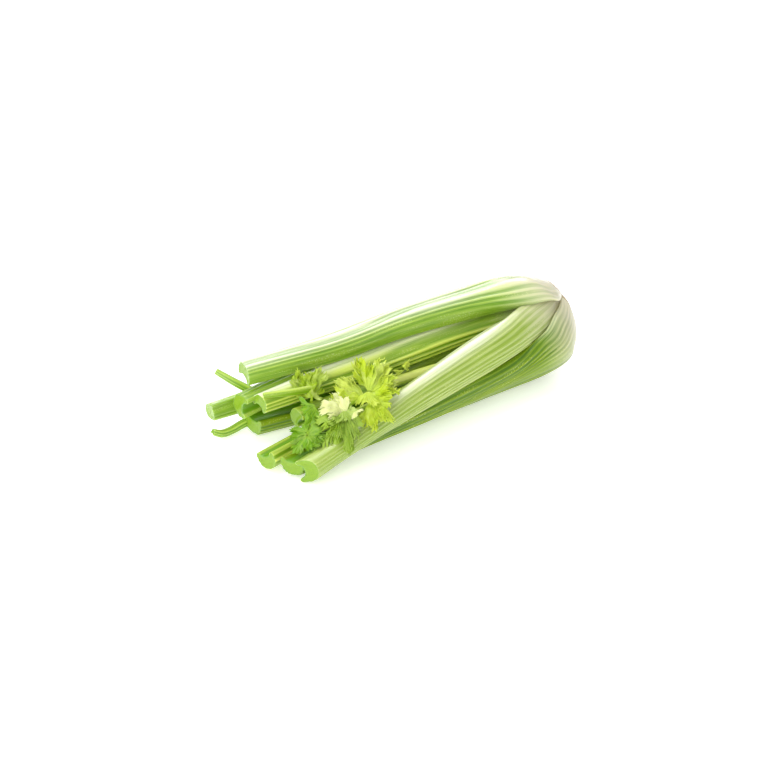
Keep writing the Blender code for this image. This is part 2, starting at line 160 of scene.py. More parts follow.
LEAVES = (
    Leaf("leaf_bright", 0.60, (
        Leaflet((-38, -35, 47.5), (-17.5, -17, 64.5), (-0.5, -0.7, 0.5), 49, 5, 0.3, 0.25, 0.12),
        Leaflet((-37, -33.5, 47), (-31.5, -11, 60.5), (-0.6, -0.6, 0.5), 29, 3, 0.4, 0.3, 0.0),
        Leaflet((-36, -35, 47.5), (-15, -31.5, 59), (-0.3, -0.8, 0.5), 34, 3, 0.3, 0.3, 0.25),
        Leaflet((-41, -36, 44.5), (-56.5, -16, 50.5), (-0.3, -0.6, 0.8), 34, 5, 0.5, 0.3, 0.2),
        Leaflet((-41.5, -37, 44.5), (-66, -21.5, 44), (-0.2, -0.8, 0.5), 26, 3, 0.5, 0.3, 0.05),
        Leaflet((-38, -37, 47), (-16.5, -41, 55.5), (-0.3, -0.7, 0.7), 31, 3, 0.4, 0.3, 0.07),
        Leaflet((-38.5, -39, 46), (-25, -49, 49), (-0.3, -0.8, 0.6), 39, 3, 0.5, 0.3, 0.0),
        Leaflet((-37.5, -40, 46.5), (-46.5, -60, 28), (-0.5, -0.8, 0.4), 29, 3, 0.5, 0.25, 0.05),
        Leaflet((-36.5, -40.5, 46), (-37.5, -61.5, 30), (-0.3, -0.9, 0.4), 26, 3, 0.4, 0.25, 0.05),
        Leaflet((-37.5, -40, 46.5), (-30, -55, 42.5), (-0.2, -0.9, 0.4), 36, 3, 0.5, 0.3, 0.05),
        Leaflet((-39.5, -36.5, 50.0), (-44, -48.5, 41.5), (-0.5, -0.7, 0.6), 62, 5, 0.8, 0.3, 0.1)),
        (((-25, -25, 42), (-38, -36, 47), 3.2),)),
    # Its near-white curled hood is a painted highlight, given by its leaflets' high pale values.
    Leaf("leaf_pale_curled", 0.25, (
        Leaflet((-59, -41, 41), (-76.5, -27, 44), (-0.2, -0.5, 0.9), 55, 5, 1.3, 0.5, 0.85),
        Leaflet((-59, -42, 41.5), (-62.5, -29, 46), (-0.3, -0.7, 0.7), 60, 3, 1.5, 0.5, 0.9),
        Leaflet((-60, -42, 41), (-51.5, -47, 43.5), (-0.2, -0.6, 0.8), 52, 3, 1.0, 0.4, 0.3),
        Leaflet((-60.5, -40, 41.5), (-78, -60, 19), (-0.5, -0.8, 0.4), 26, 3, 0.3, 0.25, 0.05),
        Leaflet((-60.5, -41, 41.5), (-67.5, -61.5, 22), (-0.4, -0.8, 0.45), 29, 3, 0.3, 0.25, 0.12),
        Leaflet((-59.5, -40.5, 41), (-57.5, -59, 29), (-0.3, -0.85, 0.4), 31, 3, 0.4, 0.3, 0.15),
        Leaflet((-61, -40, 41), (-78.5, -49.5, 27.5), (-0.6, -0.7, 0.4), 31, 3, 0.4, 0.3, 0.03),
        Leaflet((-60, -39, 41), (-83, -37.5, 37), (-0.5, -0.6, 0.6), 29, 3, 0.7, 0.4, 0.1),
        Leaflet((-61, -41.5, 42.5), (-66, -52, 36), (-0.4, -0.8, 0.5), 57, 5, 0.7, 0.3, 0.17),
        Leaflet((-57, -44, 42.5), (-53.5, -53, 40), (-0.3, -0.8, 0.6), 46, 3, 1.2, 0.5, 0.85)),
        (((-45, -32, 42), (-60, -40, 41), 2.8),)),
    # Its small yellow share gives a darker green: partly its own colour, partly painted shade from the
    # leaves above.
    Leaf("leaf_green_low", 0.12, (
        Leaflet((-89, -37, 28.5), (-99.5, -27, 23), (-0.4, -0.6, 0.7), 42, 3, 0.5, 0.3, 0.0),
        Leaflet((-88.5, -36.5, 29), (-89, -27, 35), (-0.5, -0.7, 0.5), 52, 3, 0.5, 0.3, 0.0),
        Leaflet((-89, -37, 28.5), (-78, -45.5, 32), (-0.3, -0.8, 0.5), 56, 5, 0.5, 0.3, 0.05),
        Leaflet((-89, -37.5, 27.5), (-93.5, -48.5, 17.5), (-0.5, -0.8, 0.4), 56, 3, 0.4, 0.3, 0.0),
        Leaflet((-89.5, -37.5, 27.5), (-102, -37.5, 18), (-0.6, -0.6, 0.6), 34, 3, 0.4, 0.3, 0.1),
        Leaflet((-88.5, -38.5, 28), (-83, -50.5, 21), (-0.4, -0.8, 0.5), 54, 5, 0.5, 0.3, 0.05),
        Leaflet((-77, -28, 44), (-90, -21, 38.5), (-0.4, -0.7, 0.6), 44, 3, 0.7, 0.4, 0.0),
        Leaflet((-78, -28.5, 44), (-85, -35, 32), (-0.5, -0.6, 0.6), 47, 5, 0.6, 0.4, 0.0)),
        (((-76, -33, 36), (-89, -37, 28.5), 2.4),)),
    Leaf("leaf_small_upper", 0.42, (
        Leaflet((-71, -9.5, 39), (-65, 9.5, 56.5), (-0.5, -0.7, 0.5), 50, 5, 0.4, 0.4, 0.17),
        Leaflet((-71, -9.5, 39), (-73, 12, 50.5), (-0.5, -0.6, 0.6), 48, 5, 0.5, 0.4, 0.03),
        Leaflet((-70.5, -10, 39), (-61, -5.5, 48.5), (-0.4, -0.8, 0.4), 34, 3, 0.4, 0.4, 0.0),
        Leaflet((-73, -8, 39), (-80.5, 10, 44), (-0.4, -0.6, 0.7), 18, 3, 0.4, 0.3, 0.25),
        Leaflet((-70.5, -11, 39), (-67.5, -13, 44), (-0.4, -0.7, 0.6), 57, 3, 0.9, 0.4, 0.25),
        Leaflet((-71, -10.5, 39), (-71.5, 1.5, 48.5), (-0.4, -0.8, 0.5), 60, 5, 0.6, 0.4, 0.05)),
        (((-75, -16, 40), (-71, -9.5, 39), 2.2),)),
    Leaf("leaf_heart_scrap", 0.75, (
        Leaflet((2, -15, 45), (10, -11.5, 46.5), (-0.4, -0.8, 0.5), 29, 3, 0.6, 0.3, 0.2),
        Leaflet((3, -15, 45), (5, -10.5, 48), (-0.4, -0.7, 0.6), 31, 3, 0.5, 0.3, 0.1),
        Leaflet((2, -16, 45), (-8, -16, 44), (-0.4, -0.8, 0.5), 23, 3, 0.6, 0.3, 0.2)),
        ()),
)


def hex_to_linear(code):
    """Linear red, green, blue and alpha of an sRGB hex colour."""
    channels = [int(code[i:i + 2], 16) / 255 for i in (0, 2, 4)]
    linear = [c / 12.92 if c <= 0.04045 else ((c + 0.055) / 1.055) ** 2.4 for c in channels]
    return (*linear, 1.0)


def colour_property(name, description, code):
    """A colour that a user can change, with its default as an sRGB hex code."""
    return bpy.props.FloatVectorProperty(
        name=name, description=description, subtype="COLOR", size=4, min=0.0, max=1.0,
        default=hex_to_linear(code))


class CelerySizes(bpy.types.PropertyGroup):
    """Sizes of the surface detail."""

    rib_height: bpy.props.FloatProperty(
        name="Rib height", description="How far a rib of an outer stalk stands out",
        default=1.25 * MM, min=0.0, unit="LENGTH")
    fibre_width: bpy.props.FloatProperty(
        name="Fibre width", description="Width of one fine strand in the skin between the ribs",
        default=0.45 * MM, min=0.05 * MM, unit="LENGTH")
    blanched_length: bpy.props.FloatProperty(
        name="Blanched length", description="Length of cream skin above the trimmed root",
        default=52 * MM, min=0.0, unit="LENGTH")
    blade_thickness: bpy.props.FloatProperty(
        name="Blade thickness", description="Thickness of a leaf blade",
        default=0.35 * MM, min=0.05 * MM, unit="LENGTH")
    tooth_depth: bpy.props.FloatProperty(
        name="Tooth depth", description="Share of a lobe that the notches between teeth cut away",
        default=0.19, min=0.0, max=0.6, subtype="FACTOR")


class CeleryColours(bpy.types.PropertyGroup):
    """Colours of the skin, flesh, root and leaves."""

    crest_outer: colour_property("Outer rib", "Crest of a rib on an outer stalk", "BEDA54")
    groove_outer: colour_property("Outer groove", "Groove between ribs on an outer stalk", "6A9A08")
    # Painted shade: a darker copy of the outer skin for the stalks lying low, turned from the lights.
    crest_painted_shade: colour_property("Shaded rib", "Crest of a rib on a stalk that grew outermost", "9CB414")
    groove_painted_shade: colour_property("Shaded groove", "Groove on a stalk that grew outermost", "507A02")
    crest_inner: colour_property("Inner rib", "Crest of a rib on an inner stalk", "D6E662")
    groove_inner: colour_property("Inner groove", "Groove between ribs on an inner stalk", "78A40A")
    crest_pale: colour_property("Pale rib", "Crest of a rib on the pale crossing stalk", "CAD880")
    groove_pale: colour_property("Pale groove", "Groove on the pale crossing stalk", "90AE30")
    heart_skin: colour_property("Heart stem", "Skin of the yellow heart stem", "D9E07E")
    blanched: colour_property("Blanched skin", "Skin that grew in the dark by the root", "E0DABC")
    # Painted sheen: a near-white colour laid where the lights catch a stalk's edge, a painted
    # highlight.
    frost: colour_property("Pale edge", "Whitish edge of a stalk that a neighbour shaded", "F6F8E2")
    hollow: colour_property("Hollow face", "Smooth inner face of a stalk", "6EA208")
    flesh: colour_property("Cut flesh", "Wet flesh of a cut stalk", "88AC26")
    strand: colour_property("Cut strand", "Cut ends of the strands under the ribs", "7FA63A")
    root_flesh: colour_property("Root flesh", "Trimmed face of the root", "DDD2AA")
    root_bark: colour_property("Root bark", "Dried brown rim and flecks of the root", "A88A52")
    leaf_green: colour_property("Green leaf", "Blade of a leaf that saw light", "509A00")
    leaf_yellow: colour_property("Yellow leaf", "Blade of a heart leaf", "F2FF3C")
    leaf_vein: colour_property("Leaf vein", "Veins of a heart leaf", "E2F250")
    # Painted highlight: a near-white colour that leaflets show by their pale value where light catches
    # them.
    leaf_painted_highlight: colour_property("Leaf underside", "Whitish underside of a heart leaf", "FDFFBE")
    studio: colour_property("Studio", "Floor and surroundings", "FFFFFF")


def sizes():
    return bpy.context.scene.celery_sizes


def colours():
    return bpy.context.scene.celery_colours


# ---------------------------------------------------------------------------------------------
# Curves and cross-sections
# ---------------------------------------------------------------------------------------------

# Cross-sections along a stalk, and the points on each face and each lip of one.
LENGTH_ROWS = 132
FACE_POINTS = 76
LIP_POINTS = 7
RING_POINTS = 2 * FACE_POINTS + 2 * (LIP_POINTS - 1)
SPANS_PER_STATION = 40
OUTLINE_SAMPLES = 2000

# How square the outer face is across and outward (1 is a circle), the share of the width in each
# rim beside the hollow, and the drop of the rims and the bulge of the lips as shares of the depth.
FACE_ROUNDING = 0.80
BACK_ROUNDING = 0.70
RIM_SHARE = 0.235
RIM_DROP = 0.58
LIP_BULGE = 0.15
CORNER_SOFTENING = 5

# Rounding of the knife cut's edge and how far the cut dries in, in millimetres.
CUT_BEVEL = 0.45
CUT_DISH = 0.5


def crown_radial(angle):
    """Direction away from the crown's axis at an angle round it."""
    up = (Vector((0, 0, 1)) - CROWN_FACING * CROWN_FACING.z).normalized()
    front = CROWN_FACING.cross(up)
    turn = math.radians(angle)
    return front * math.cos(turn) + up * math.sin(turn)


def crown_point(angle, radius, behind):
    """A point of the crown at an angle round it, a distance from its axis and one behind its cut."""
    return CROWN_CUT_CENTRE - CROWN_FACING * behind + crown_radial(angle) * radius


def smooth_rows(rows, per_span=SPANS_PER_STATION):
    """Rows of numbers on a smooth curve that passes through the given rows."""
    rows = np.asarray(rows, float)
    last = len(rows) - 1
    t = (np.arange(per_span) / per_span)[:, None]
    spans = []
    for i in range(last):
        p, q, r, s = rows[max(i - 1, 0)], rows[i], rows[i + 1], rows[min(i + 2, last)]
        spans.append(0.5 * (2 * q + (r - p) * t + (2 * p - 5 * q + 4 * r - s) * t * t
                            + (3 * q - p - 3 * r + s) * t ** 3))
    return np.vstack([*spans, rows[-1:]])


def even_rows(rows, count):
    """Rows evenly spaced along the smooth curve, with the length up to each one."""
    fine = smooth_rows(rows)
    steps = np.linalg.norm(np.diff(fine[:, :3], axis=0), axis=1)
    lengths = np.concatenate([[0.0], np.cumsum(steps)])
    wanted = np.linspace(0.0, lengths[-1], count)
    columns = [np.interp(wanted, lengths, fine[:, k]) for k in range(fine.shape[1])]
    return np.stack(columns, axis=1), wanted


def unit(vectors):
    return vectors / np.linalg.norm(vectors, axis=-1, keepdims=True)


def smoothstep(low, high, value):
    t = np.clip((value - low) / (high - low), 0.0, 1.0)
    return t * t * (3 - 2 * t)


def outer_outline(turn, width, depth):
    """The ribbed outer face of a cross-section, from one lip (turn 0) to the other (turn pi)."""
    across = np.sign(np.cos(turn)) * np.abs(np.cos(turn)) ** FACE_ROUNDING
    out = np.abs(np.sin(turn)) ** BACK_ROUNDING
    return 0.5 * width * across, depth * (out - 0.5)


def hollow_outline(turn, width, depth, hollow):
    """The smooth inner face of a cross-section, running back from lip to lip."""
    rim_depth = RIM_DROP * depth
    rise = np.abs(np.sin(turn)) * (rim_depth + depth * (hollow - 0.5))
    return (RIM_SHARE - 0.5) * width * np.cos(turn), rise - rim_depth


def even_turns(outline, count):
    """Turns from 0 to pi that space the points of an outline evenly."""
    turn = np.linspace(0.0, math.pi, OUTLINE_SAMPLES)
    x, y = outline(turn)
    lengths = np.concatenate([[0.0], np.cumsum(np.hypot(np.diff(x), np.diff(y)))])
    return np.interp(np.linspace(0.0, lengths[-1], count), lengths, turn)


def plain_sections(width, depth, hollow):
    """Smooth cross-sections, one for each row: outer face, lip, hollow face, other lip."""
    wide, deep = width[:, None], depth[:, None]
    mean_w, mean_d = width.mean(), depth.mean()
    outer_turn = even_turns(lambda t: outer_outline(t, mean_w, mean_d), FACE_POINTS)
    inner_turn = even_turns(lambda t: hollow_outline(t, mean_w, mean_d, hollow), FACE_POINTS)
    outer = np.stack(outer_outline(outer_turn[None, :], wide, deep), axis=-1)
    inner = np.stack(hollow_outline(inner_turn[None, :], wide, deep, hollow), axis=-1)
    step = (np.arange(1, LIP_POINTS) / LIP_POINTS)[None, :, None]
    bulge = LIP_BULGE * deep * np.sin(math.pi * step[..., 0])
    lips = []
    for start, end in ((outer[:, -1:], inner[:, :1]), (inner[:, -1:], outer[:, :1])):
        lip = start * (1 - step) + end * step
        lip[..., 1] -= bulge
        lips.append(lip)
    ring = np.concatenate([outer, lips[0], inner, lips[1]], axis=1)
    for _ in range(CORNER_SOFTENING):
        ring = 0.5 * ring + 0.25 * (np.roll(ring, 1, axis=1) + np.roll(ring, -1, axis=1))
    return ring


def outward_normals(ring):
    """Unit vectors away from each cross-section, in its own plane."""
    tangent = np.roll(ring, -1, axis=1) - np.roll(ring, 1, axis=1)
    return unit(np.stack([tangent[..., 1], -tangent[..., 0]], axis=-1))


# Ribs: how narrow their crests are, the strength of the fine lines between them, the half width
# of the smooth band as a share of the face, and the crest value that skin without ribs has.
RIB_NARROWNESS = 1.7
FINE_LINES = 0.18
CALM_HALF_WIDTH = 0.13
LIP_SHARE = 0.05
LIP_CREST = 0.45
HOLLOW_CREST = 0.55
FULL_FACE_CREST = 0.30

# The pale stalk turns darker and greener by this share between these distances from the root,
# partly its own colour and partly painted shade under the leaves that lie over its cut end.
PALE_GREENING_AND_SHADE_BY = 0.45
PALE_GREENING_AND_SHADE_FROM = 140.0
PALE_GREENING_AND_SHADE_TO = 240.0


def rib_phase(stalk, share, along, seed):
    """Ribs counted across the outer face, which drift sideways and bunch up as the stalk grows."""
    drift = 0.22 * np.sin(along / 47.0 + seed) + 0.10 * np.sin(along / 19.0 + 2.3 * seed)
    bunching = 0.55 * np.sin(2 * math.pi * share + seed)
    close_bunching = 0.22 * np.sin(5 * math.pi * share + 3 * seed)
    return stalk.ribs * share + drift[:, None] + bunching + close_bunching


def rib_crests(stalk, along, seed):
    """1 on the crest of a rib and 0 in the groove, for every row and point of the ring."""
    share = np.linspace(0.0, 1.0, FACE_POINTS)[None, :]
    phase = rib_phase(stalk, share, along, seed)
    crest = (0.5 - 0.5 * np.cos(2 * math.pi * phase)) ** RIB_NARROWNESS
    uneven_ribs = 0.74 + 0.32 * np.sin(12.99 * np.floor(phase) + seed)
    fine = 0.5 + 0.5 * np.cos(6 * math.pi * phase)
    ribbed = uneven_ribs * crest + FINE_LINES * fine
    calm = 0.9 * np.exp(-((share - stalk.calm) / CALM_HALF_WIDTH) ** 2)
    ribbed = ribbed * (1.0 - calm) + (stalk.calm_crest + FINE_LINES / 3 * fine) * calm
    fade = smoothstep(0.0, LIP_SHARE, share) * smoothstep(0.0, LIP_SHARE, 1.0 - share)
    outer = fade * ribbed + (1.0 - fade) * LIP_CREST
    # Darker and greener toward the cut: partly own colour, partly painted shade under the leaves.
    if stalk.tone == "pale":
        greening = smoothstep(PALE_GREENING_AND_SHADE_FROM, PALE_GREENING_AND_SHADE_TO, along)
        outer = outer * (1.0 - PALE_GREENING_AND_SHADE_BY * greening)[:, None]
    plain = HOLLOW_CREST if stalk.hollow > 0 else FULL_FACE_CREST
    crests = np.full((len(along), RING_POINTS), plain)
    crests[:, :FACE_POINTS] = outer
    return crests


# The painted sheen, a whitish highlight laid on the edge that the lights catch: how gradually it
# ends across the face, its strength on the lip and where along the stalk it sets in.
PAINTED_SHEEN_SOFTNESS = 0.25
PAINTED_SHEEN_ON_LIP = 0.4
PAINTED_SHEEN_FROM = 30.0
PAINTED_SHEEN_FULL = 100.0


def painted_sheen_edge(stalk, along):
    """1 where a painted sheen whitens the edge of the outer face and 0 elsewhere, for every row and
    point.
    """
    frost = np.zeros((len(along), RING_POINTS))
    if stalk.frost:
        share = np.linspace(0.0, 1.0, FACE_POINTS)
        thinner_at_lip = PAINTED_SHEEN_ON_LIP + (1.0 - PAINTED_SHEEN_ON_LIP) * smoothstep(0.0, 0.2, share)
        fade = 1.0 - smoothstep(stalk.frost - PAINTED_SHEEN_SOFTNESS, stalk.frost, share)
        frost[:, :FACE_POINTS] = thinner_at_lip * fade
        frost[:, 1 - LIP_POINTS:] = PAINTED_SHEEN_ON_LIP
        starts = smoothstep(PAINTED_SHEEN_FROM, PAINTED_SHEEN_FULL, along)
        ends = smoothstep(0.5 * stalk.frost_reach, stalk.frost_reach, along)
        frost *= (starts * (1.0 - ends))[:, None]
    return frost


TOWARD_TOPS = (-1.0, 0.0, 0.0)

# Stalks whose lowest section is nearer the crown's axis than this end in the core.  The foot of any
# stalk is drawn in to these shares of that section, this many millimetres behind the cut.
INNER_FOOT_RADIUS = 10.0
INNER_FOOT_SHRINK = 0.8
INNER_FOOT_BEHIND = 4.0
OUTER_FOOT_RADIUS = 0.55
OUTER_FOOT_WIDTH = 0.66
OUTER_FOOT_DEPTH = 0.88
OUTER_FOOT_BEHIND = 0.7


def stalk_rows(stalk):
    """Every cross-section of a stalk as position, width, depth, outward direction and the way
    its plane faces: along the crown's axis at the base and along the head's length beyond it."""
    rows = []
    for base in stalk.bases:
        place = crown_point(base.angle, base.radius, base.behind)
        outward = crown_radial(base.angle + base.turn)
        rows.append([*place, base.width, base.depth, *outward, *-CROWN_FACING])
    if stalk.bases:
        rows.insert(0, foot_row(stalk.bases[0]))
    for station in stalk.stations:
        face = math.radians(station.face)
        rows.append([*station[:5], 0.0, math.cos(face), math.sin(face), *TOWARD_TOPS])
    return rows


def foot_row(base):
    """The first cross-section: outer stalks reach the trimmed cut, inner ones end in the core."""
    outward = crown_radial(base.angle + base.turn)
    if base.radius < INNER_FOOT_RADIUS:
        place = crown_point(base.angle, INNER_FOOT_SHRINK * base.radius, INNER_FOOT_BEHIND)
        return [*place, INNER_FOOT_SHRINK * base.width, base.depth, *outward, *-CROWN_FACING]
    place = crown_point(base.angle, OUTER_FOOT_RADIUS * base.radius, OUTER_FOOT_BEHIND)
    width, depth = OUTER_FOOT_WIDTH * base.width, OUTER_FOOT_DEPTH * base.depth
    return [*place, width, depth, *outward, *-CROWN_FACING]


# ---------------------------------------------------------------------------------------------
# Meshes
# ---------------------------------------------------------------------------------------------

# Material slots of a stalk.
SKIN, FLESH, ROOT = 0, 1, 2


class Surface:
    """Points, faces and painted values gathered for one mesh."""

    def __init__(self, *value_names):
        self.points = []
        self.faces = []
        self.uvs = []
        self.slots = []
        self.values = {name: [] for name in value_names}
        self.count = 0

    def add_points(self, points, **values):
        """Add points in millimetres with their painted values and return their numbers."""
        points = np.asarray(points, float).reshape(-1, 3)
        self.points.append(points)
        for name, kept in self.values.items():
            kept.append(np.broadcast_to(values.get(name, 0.0), (len(points),)).astype(float))
        first = self.count
        self.count += len(points)
        return np.arange(first, self.count)

    def add_faces(self, corners, uvs, slot=0):
        """Add faces as rows of point numbers, with a fibre coordinate at every corner."""
        corners = np.asarray(corners)
        corners = corners.reshape(-1, corners.shape[-1])
        self.faces.append(corners)
        self.uvs.append(np.asarray(uvs, float).reshape(-1, 2))
        self.slots.append(np.full(len(corners), slot))

    def add_grid(self, ids, u, v, slot=0, flip=False):
        """Faces between neighbouring rows and columns of a grid of point numbers."""
        def corners(grid):
            four = [grid[:-1, :-1], grid[1:, :-1], grid[1:, 1:], grid[:-1, 1:]]
            return np.stack(four[::-1] if flip else four, axis=-1)
        self.add_faces(corners(ids), np.stack([corners(u), corners(v)], axis=-1), slot)

    def make(self, name, materials, sharp_angle=60.0):
        """Turn what was gathered into an object in metres, shaded smooth."""
        points = np.concatenate(self.points)
        mesh = bpy.data.meshes.new(name)
        faces = [face for block in self.faces for face in block.tolist()]
        mesh.from_pydata(((points + np.array(TABLE_ZERO)) * MM).tolist(), [], faces)
        for key, kept in self.values.items():
            layer = mesh.attributes.new(key, "FLOAT", "POINT")
            layer.data.foreach_set("value", np.concatenate(kept))
        fibres = mesh.uv_layers.new(name="fibres")
        fibres.data.foreach_set("uv", (np.concatenate(self.uvs) * MM).ravel())
        mesh.polygons.foreach_set("material_index", np.concatenate(self.slots))
        mesh.shade_smooth()
        mesh.set_sharp_from_angle(angle=math.radians(sharp_angle))
        for material in materials:
            mesh.materials.append(material)
        obj = bpy.data.objects.new(name, mesh)
        bpy.context.scene.collection.objects.link(obj)
        return obj


def closing_grid(ring_ids):
    """Point numbers of a ring laid out as the border of a grid, with -1 inside it."""
    n, lips = FACE_POINTS, LIP_POINTS
    grid = np.full((lips + 1, n), -1)
    grid[0] = ring_ids[:n]
    grid[lips] = ring_ids[n + lips - 1:2 * n + lips - 1][::-1]
    grid[1:lips, -1] = ring_ids[n:n + lips - 1]
    grid[1:lips, 0] = ring_ids[2 * n + lips - 1:][::-1]
    return grid


def blended_places(border):
    """Fill a grid of places smoothly from its border."""
    rows, columns = border.shape[:2]
    t = np.linspace(0.0, 1.0, rows)[:, None, None]
    s = np.linspace(0.0, 1.0, columns)[None, :, None]
    sides = (1 - t) * border[:1] + t * border[-1:] + (1 - s) * border[:, :1] + s * border[:, -1:]
    corners = ((1 - t) * (1 - s) * border[0, 0] + (1 - t) * s * border[0, -1]
               + t * (1 - s) * border[-1, 0] + t * s * border[-1, -1])
    return sides - corners


# A knife cut: the height of the marks on it, how they run, and how far its dish is from the skin.
KNIFE_MARKS = 0.12
KNIFE_MARK_TURNS = np.array((0.9, 1.3, 0.7))
DISH_RIM = 3.0


def close_end(surface, ring_ids, ring, crest, forward, dish, slot):
    """Close a ring with a slightly dished knife cut that keeps the rib pattern of its skin."""
    local = closing_grid(np.arange(len(ring_ids)))
    ids = np.where(local < 0, -1, ring_ids[local])
    places = blended_places(ring[local])
    inside = places[1:-1, 1:-1]
    gaps = np.linalg.norm(inside[:, :, None] - ring[None, None], axis=-1).min(axis=-1)
    undulation = KNIFE_MARKS * np.sin(inside @ KNIFE_MARK_TURNS)
    sunk = inside - forward * (dish * smoothstep(0.0, DISH_RIM, gaps) + undulation)[..., None]
    crests = np.broadcast_to(crest[local[0, 1:-1]], gaps.shape)
    new_ids = surface.add_points(sunk, crest=crests.ravel(), skin_depth=gaps.ravel() * MM)
    ids[1:-1, 1:-1] = new_ids.reshape(gaps.shape)
    u, v = np.meshgrid(np.arange(ids.shape[1]) * 0.5, np.arange(ids.shape[0]) * 1.0)
    surface.add_grid(ids, u, v, slot, flip=dish < 0)


# Thin stems are painted and ribbed as skin that lies this far from the root.
STEM_FROM_ROOT = 200.0

# The crest value at which the skin lies on the plain section, the width of a stalk whose ribs have
# their full height, and the share of that height which is left at the root.
PLAIN_CREST = 0.62
FULL_RIB_WIDTH = 24.0
ROOT_RIB_SHARE = 0.35


def stalk_surface(stalk, seed):
    """The ribbed skin, the hollow face and both ends of one stalk."""
    rows, along = even_rows(stalk_rows(stalk), LENGTH_ROWS)
    centres, width, depth = rows[:, :3], rows[:, 3], rows[:, 4]
    width = width * (1 + 0.012 * np.sin(along / 23.0 + seed))
    tangents = unit(np.gradient(centres, axis=0))
    facing = unit(rows[:, 8:11]) if stalk.bases else tangents
    wanted = rows[:, 5:8]
    out = unit(wanted - facing * (wanted * facing).sum(axis=1, keepdims=True))
    side = np.cross(facing, out)
    grown = along if stalk.bases else along + STEM_FROM_ROOT
    ring = plain_sections(width, depth, stalk.hollow)
    crest = rib_crests(stalk, grown, seed)
    normals = outward_normals(ring)
    slimness = np.clip(width / FULL_RIB_WIDTH, 0.25, 1.15)
    rising = ROOT_RIB_SHARE + (1.0 - ROOT_RIB_SHARE) * smoothstep(15.0, 75.0, grown)
    height = sizes().rib_height / MM * slimness * rising
    ring = ring + normals * ((crest - PLAIN_CREST) * height[:, None])[..., None]
    if stalk.bases:
        ring = wrap_round_crown(ring, centres, along)
    ring, centres, crest, rows_used = bevelled_cut(ring, normals, centres, tangents, crest)
    side, out, along = side[rows_used], out[rows_used], along[rows_used]
    places = centres[:, None] + side[:, None] * ring[..., :1] + out[:, None] * ring[..., 1:]
    places = slant_top(places, centres, tangents[-1], along, stalk.slant)
    return fill_surface(stalk, places, crest, along, tangents)


# How tightly the first sections hug the crown's axis, the least distance that counts, and where
# along the stalk they flatten out.
WRAP_TIGHTNESS = 1.15
WRAP_LEAST_DISTANCE = 8.0
WRAP_ENDS = (35.0, 100.0)
ALMOST_FLAT = 1e-5


def wrap_round_crown(ring, centres, along):
    """Bend the first sections round the crown's axis, so that the edges of neighbours close up."""
    facing = np.array(CROWN_FACING)
    away = centres - np.array(CROWN_CUT_CENTRE)
    away = away - (away @ facing)[:, None] * facing
    distance = np.maximum(np.linalg.norm(away, axis=1), WRAP_LEAST_DISTANCE)
    bend = WRAP_TIGHTNESS / distance * (1.0 - smoothstep(*WRAP_ENDS, along)) + ALMOST_FLAT
    radius = (1.0 / bend)[:, None]
    angle = ring[..., 0] / radius
    return np.stack([(radius + ring[..., 1]) * np.sin(angle),
                     (radius + ring[..., 1]) * np.cos(angle) - radius], axis=-1)


def bevelled_cut(ring, normals, centres, tangents, crest):
    """Two more rings past the last one, drawn in and forward, round the edge of the knife cut."""
    rounding = ((0.25, 0.75), (1.0, 1.0))
    rings = [ring[-1:] - normals[-1:] * CUT_BEVEL * inset for inset, _ in rounding]
    ahead = [centres[-1:] + tangents[-1:] * CUT_BEVEL * forward for _, forward in rounding]
    rows_used = np.concatenate([np.arange(len(ring)), [len(ring) - 1] * len(rounding)])
    return (np.concatenate([ring, *rings]), np.concatenate([centres, *ahead]),
            crest[rows_used], rows_used)


SLANTED_LENGTH = 30.0


def slant_top(places, centres, forward, along, slant):
    """Let the last sections lean more and more, so that the knife cut at the top is oblique."""
    lean = slant * smoothstep(-SLANTED_LENGTH, 0.0, along - along[-1])
    back = places[..., 1] - centres[:, None, 1]
    return places + (lean[:, None] * back)[..., None] * forward


def fill_surface(stalk, places, crest, along, tangents):
    """Gather the rings of a stalk, paint them, join them to skin and close both ends."""
    surface = Surface("crest", "along", "hollow", "frost", "skin_depth")
    rows, points = places.shape[:2]
    hollow = np.zeros(points)
    first, last = FACE_POINTS + LIP_POINTS - 1, 2 * FACE_POINTS + LIP_POINTS - 1
    if stalk.hollow > 0:
        share = np.linspace(0.0, 1.0, last - first)
        hollow[first:last] = smoothstep(0.0, 0.12, np.minimum(share, 1.0 - share))
    lengths = along if stalk.bases else along + STEM_FROM_ROOT
    # The painted sheen, a whitish highlight, is stored on the skin's points with the other values.
    ids = surface.add_points(places, crest=crest.ravel(), along=np.repeat(lengths, points) * MM,
                             hollow=np.tile(hollow, rows),
                             frost=painted_sheen_edge(stalk, along).ravel()).reshape(rows, points)
    middle = places[rows // 2]
    steps = np.linalg.norm(np.roll(middle, -1, axis=0) - middle, axis=1)
    round_it = np.concatenate([[0.0], np.cumsum(steps)])
    wrapped = np.concatenate([ids, ids[:, :1]], axis=1)
    u = np.broadcast_to(round_it, wrapped.shape)
    v = np.broadcast_to(lengths[:, None], wrapped.shape)
    surface.add_grid(wrapped, u, v, SKIN)
    close_end(surface, ids[-1], places[-1], crest[-1], tangents[-1], CUT_DISH, FLESH)
    close_end(surface, ids[0], places[0], crest[0], tangents[0], -CUT_DISH, ROOT)
    return surface


def noise_at(points, grain, seed):
    """Smooth noise from -1 to 1 at places in millimetres, with humps about grain wide."""
    offset = Vector((seed * 7.3, seed * 3.1, seed * 5.7))
    return np.array([noise.noise(Vector(p) / grain + offset) for p in points.reshape(-1, 3)])


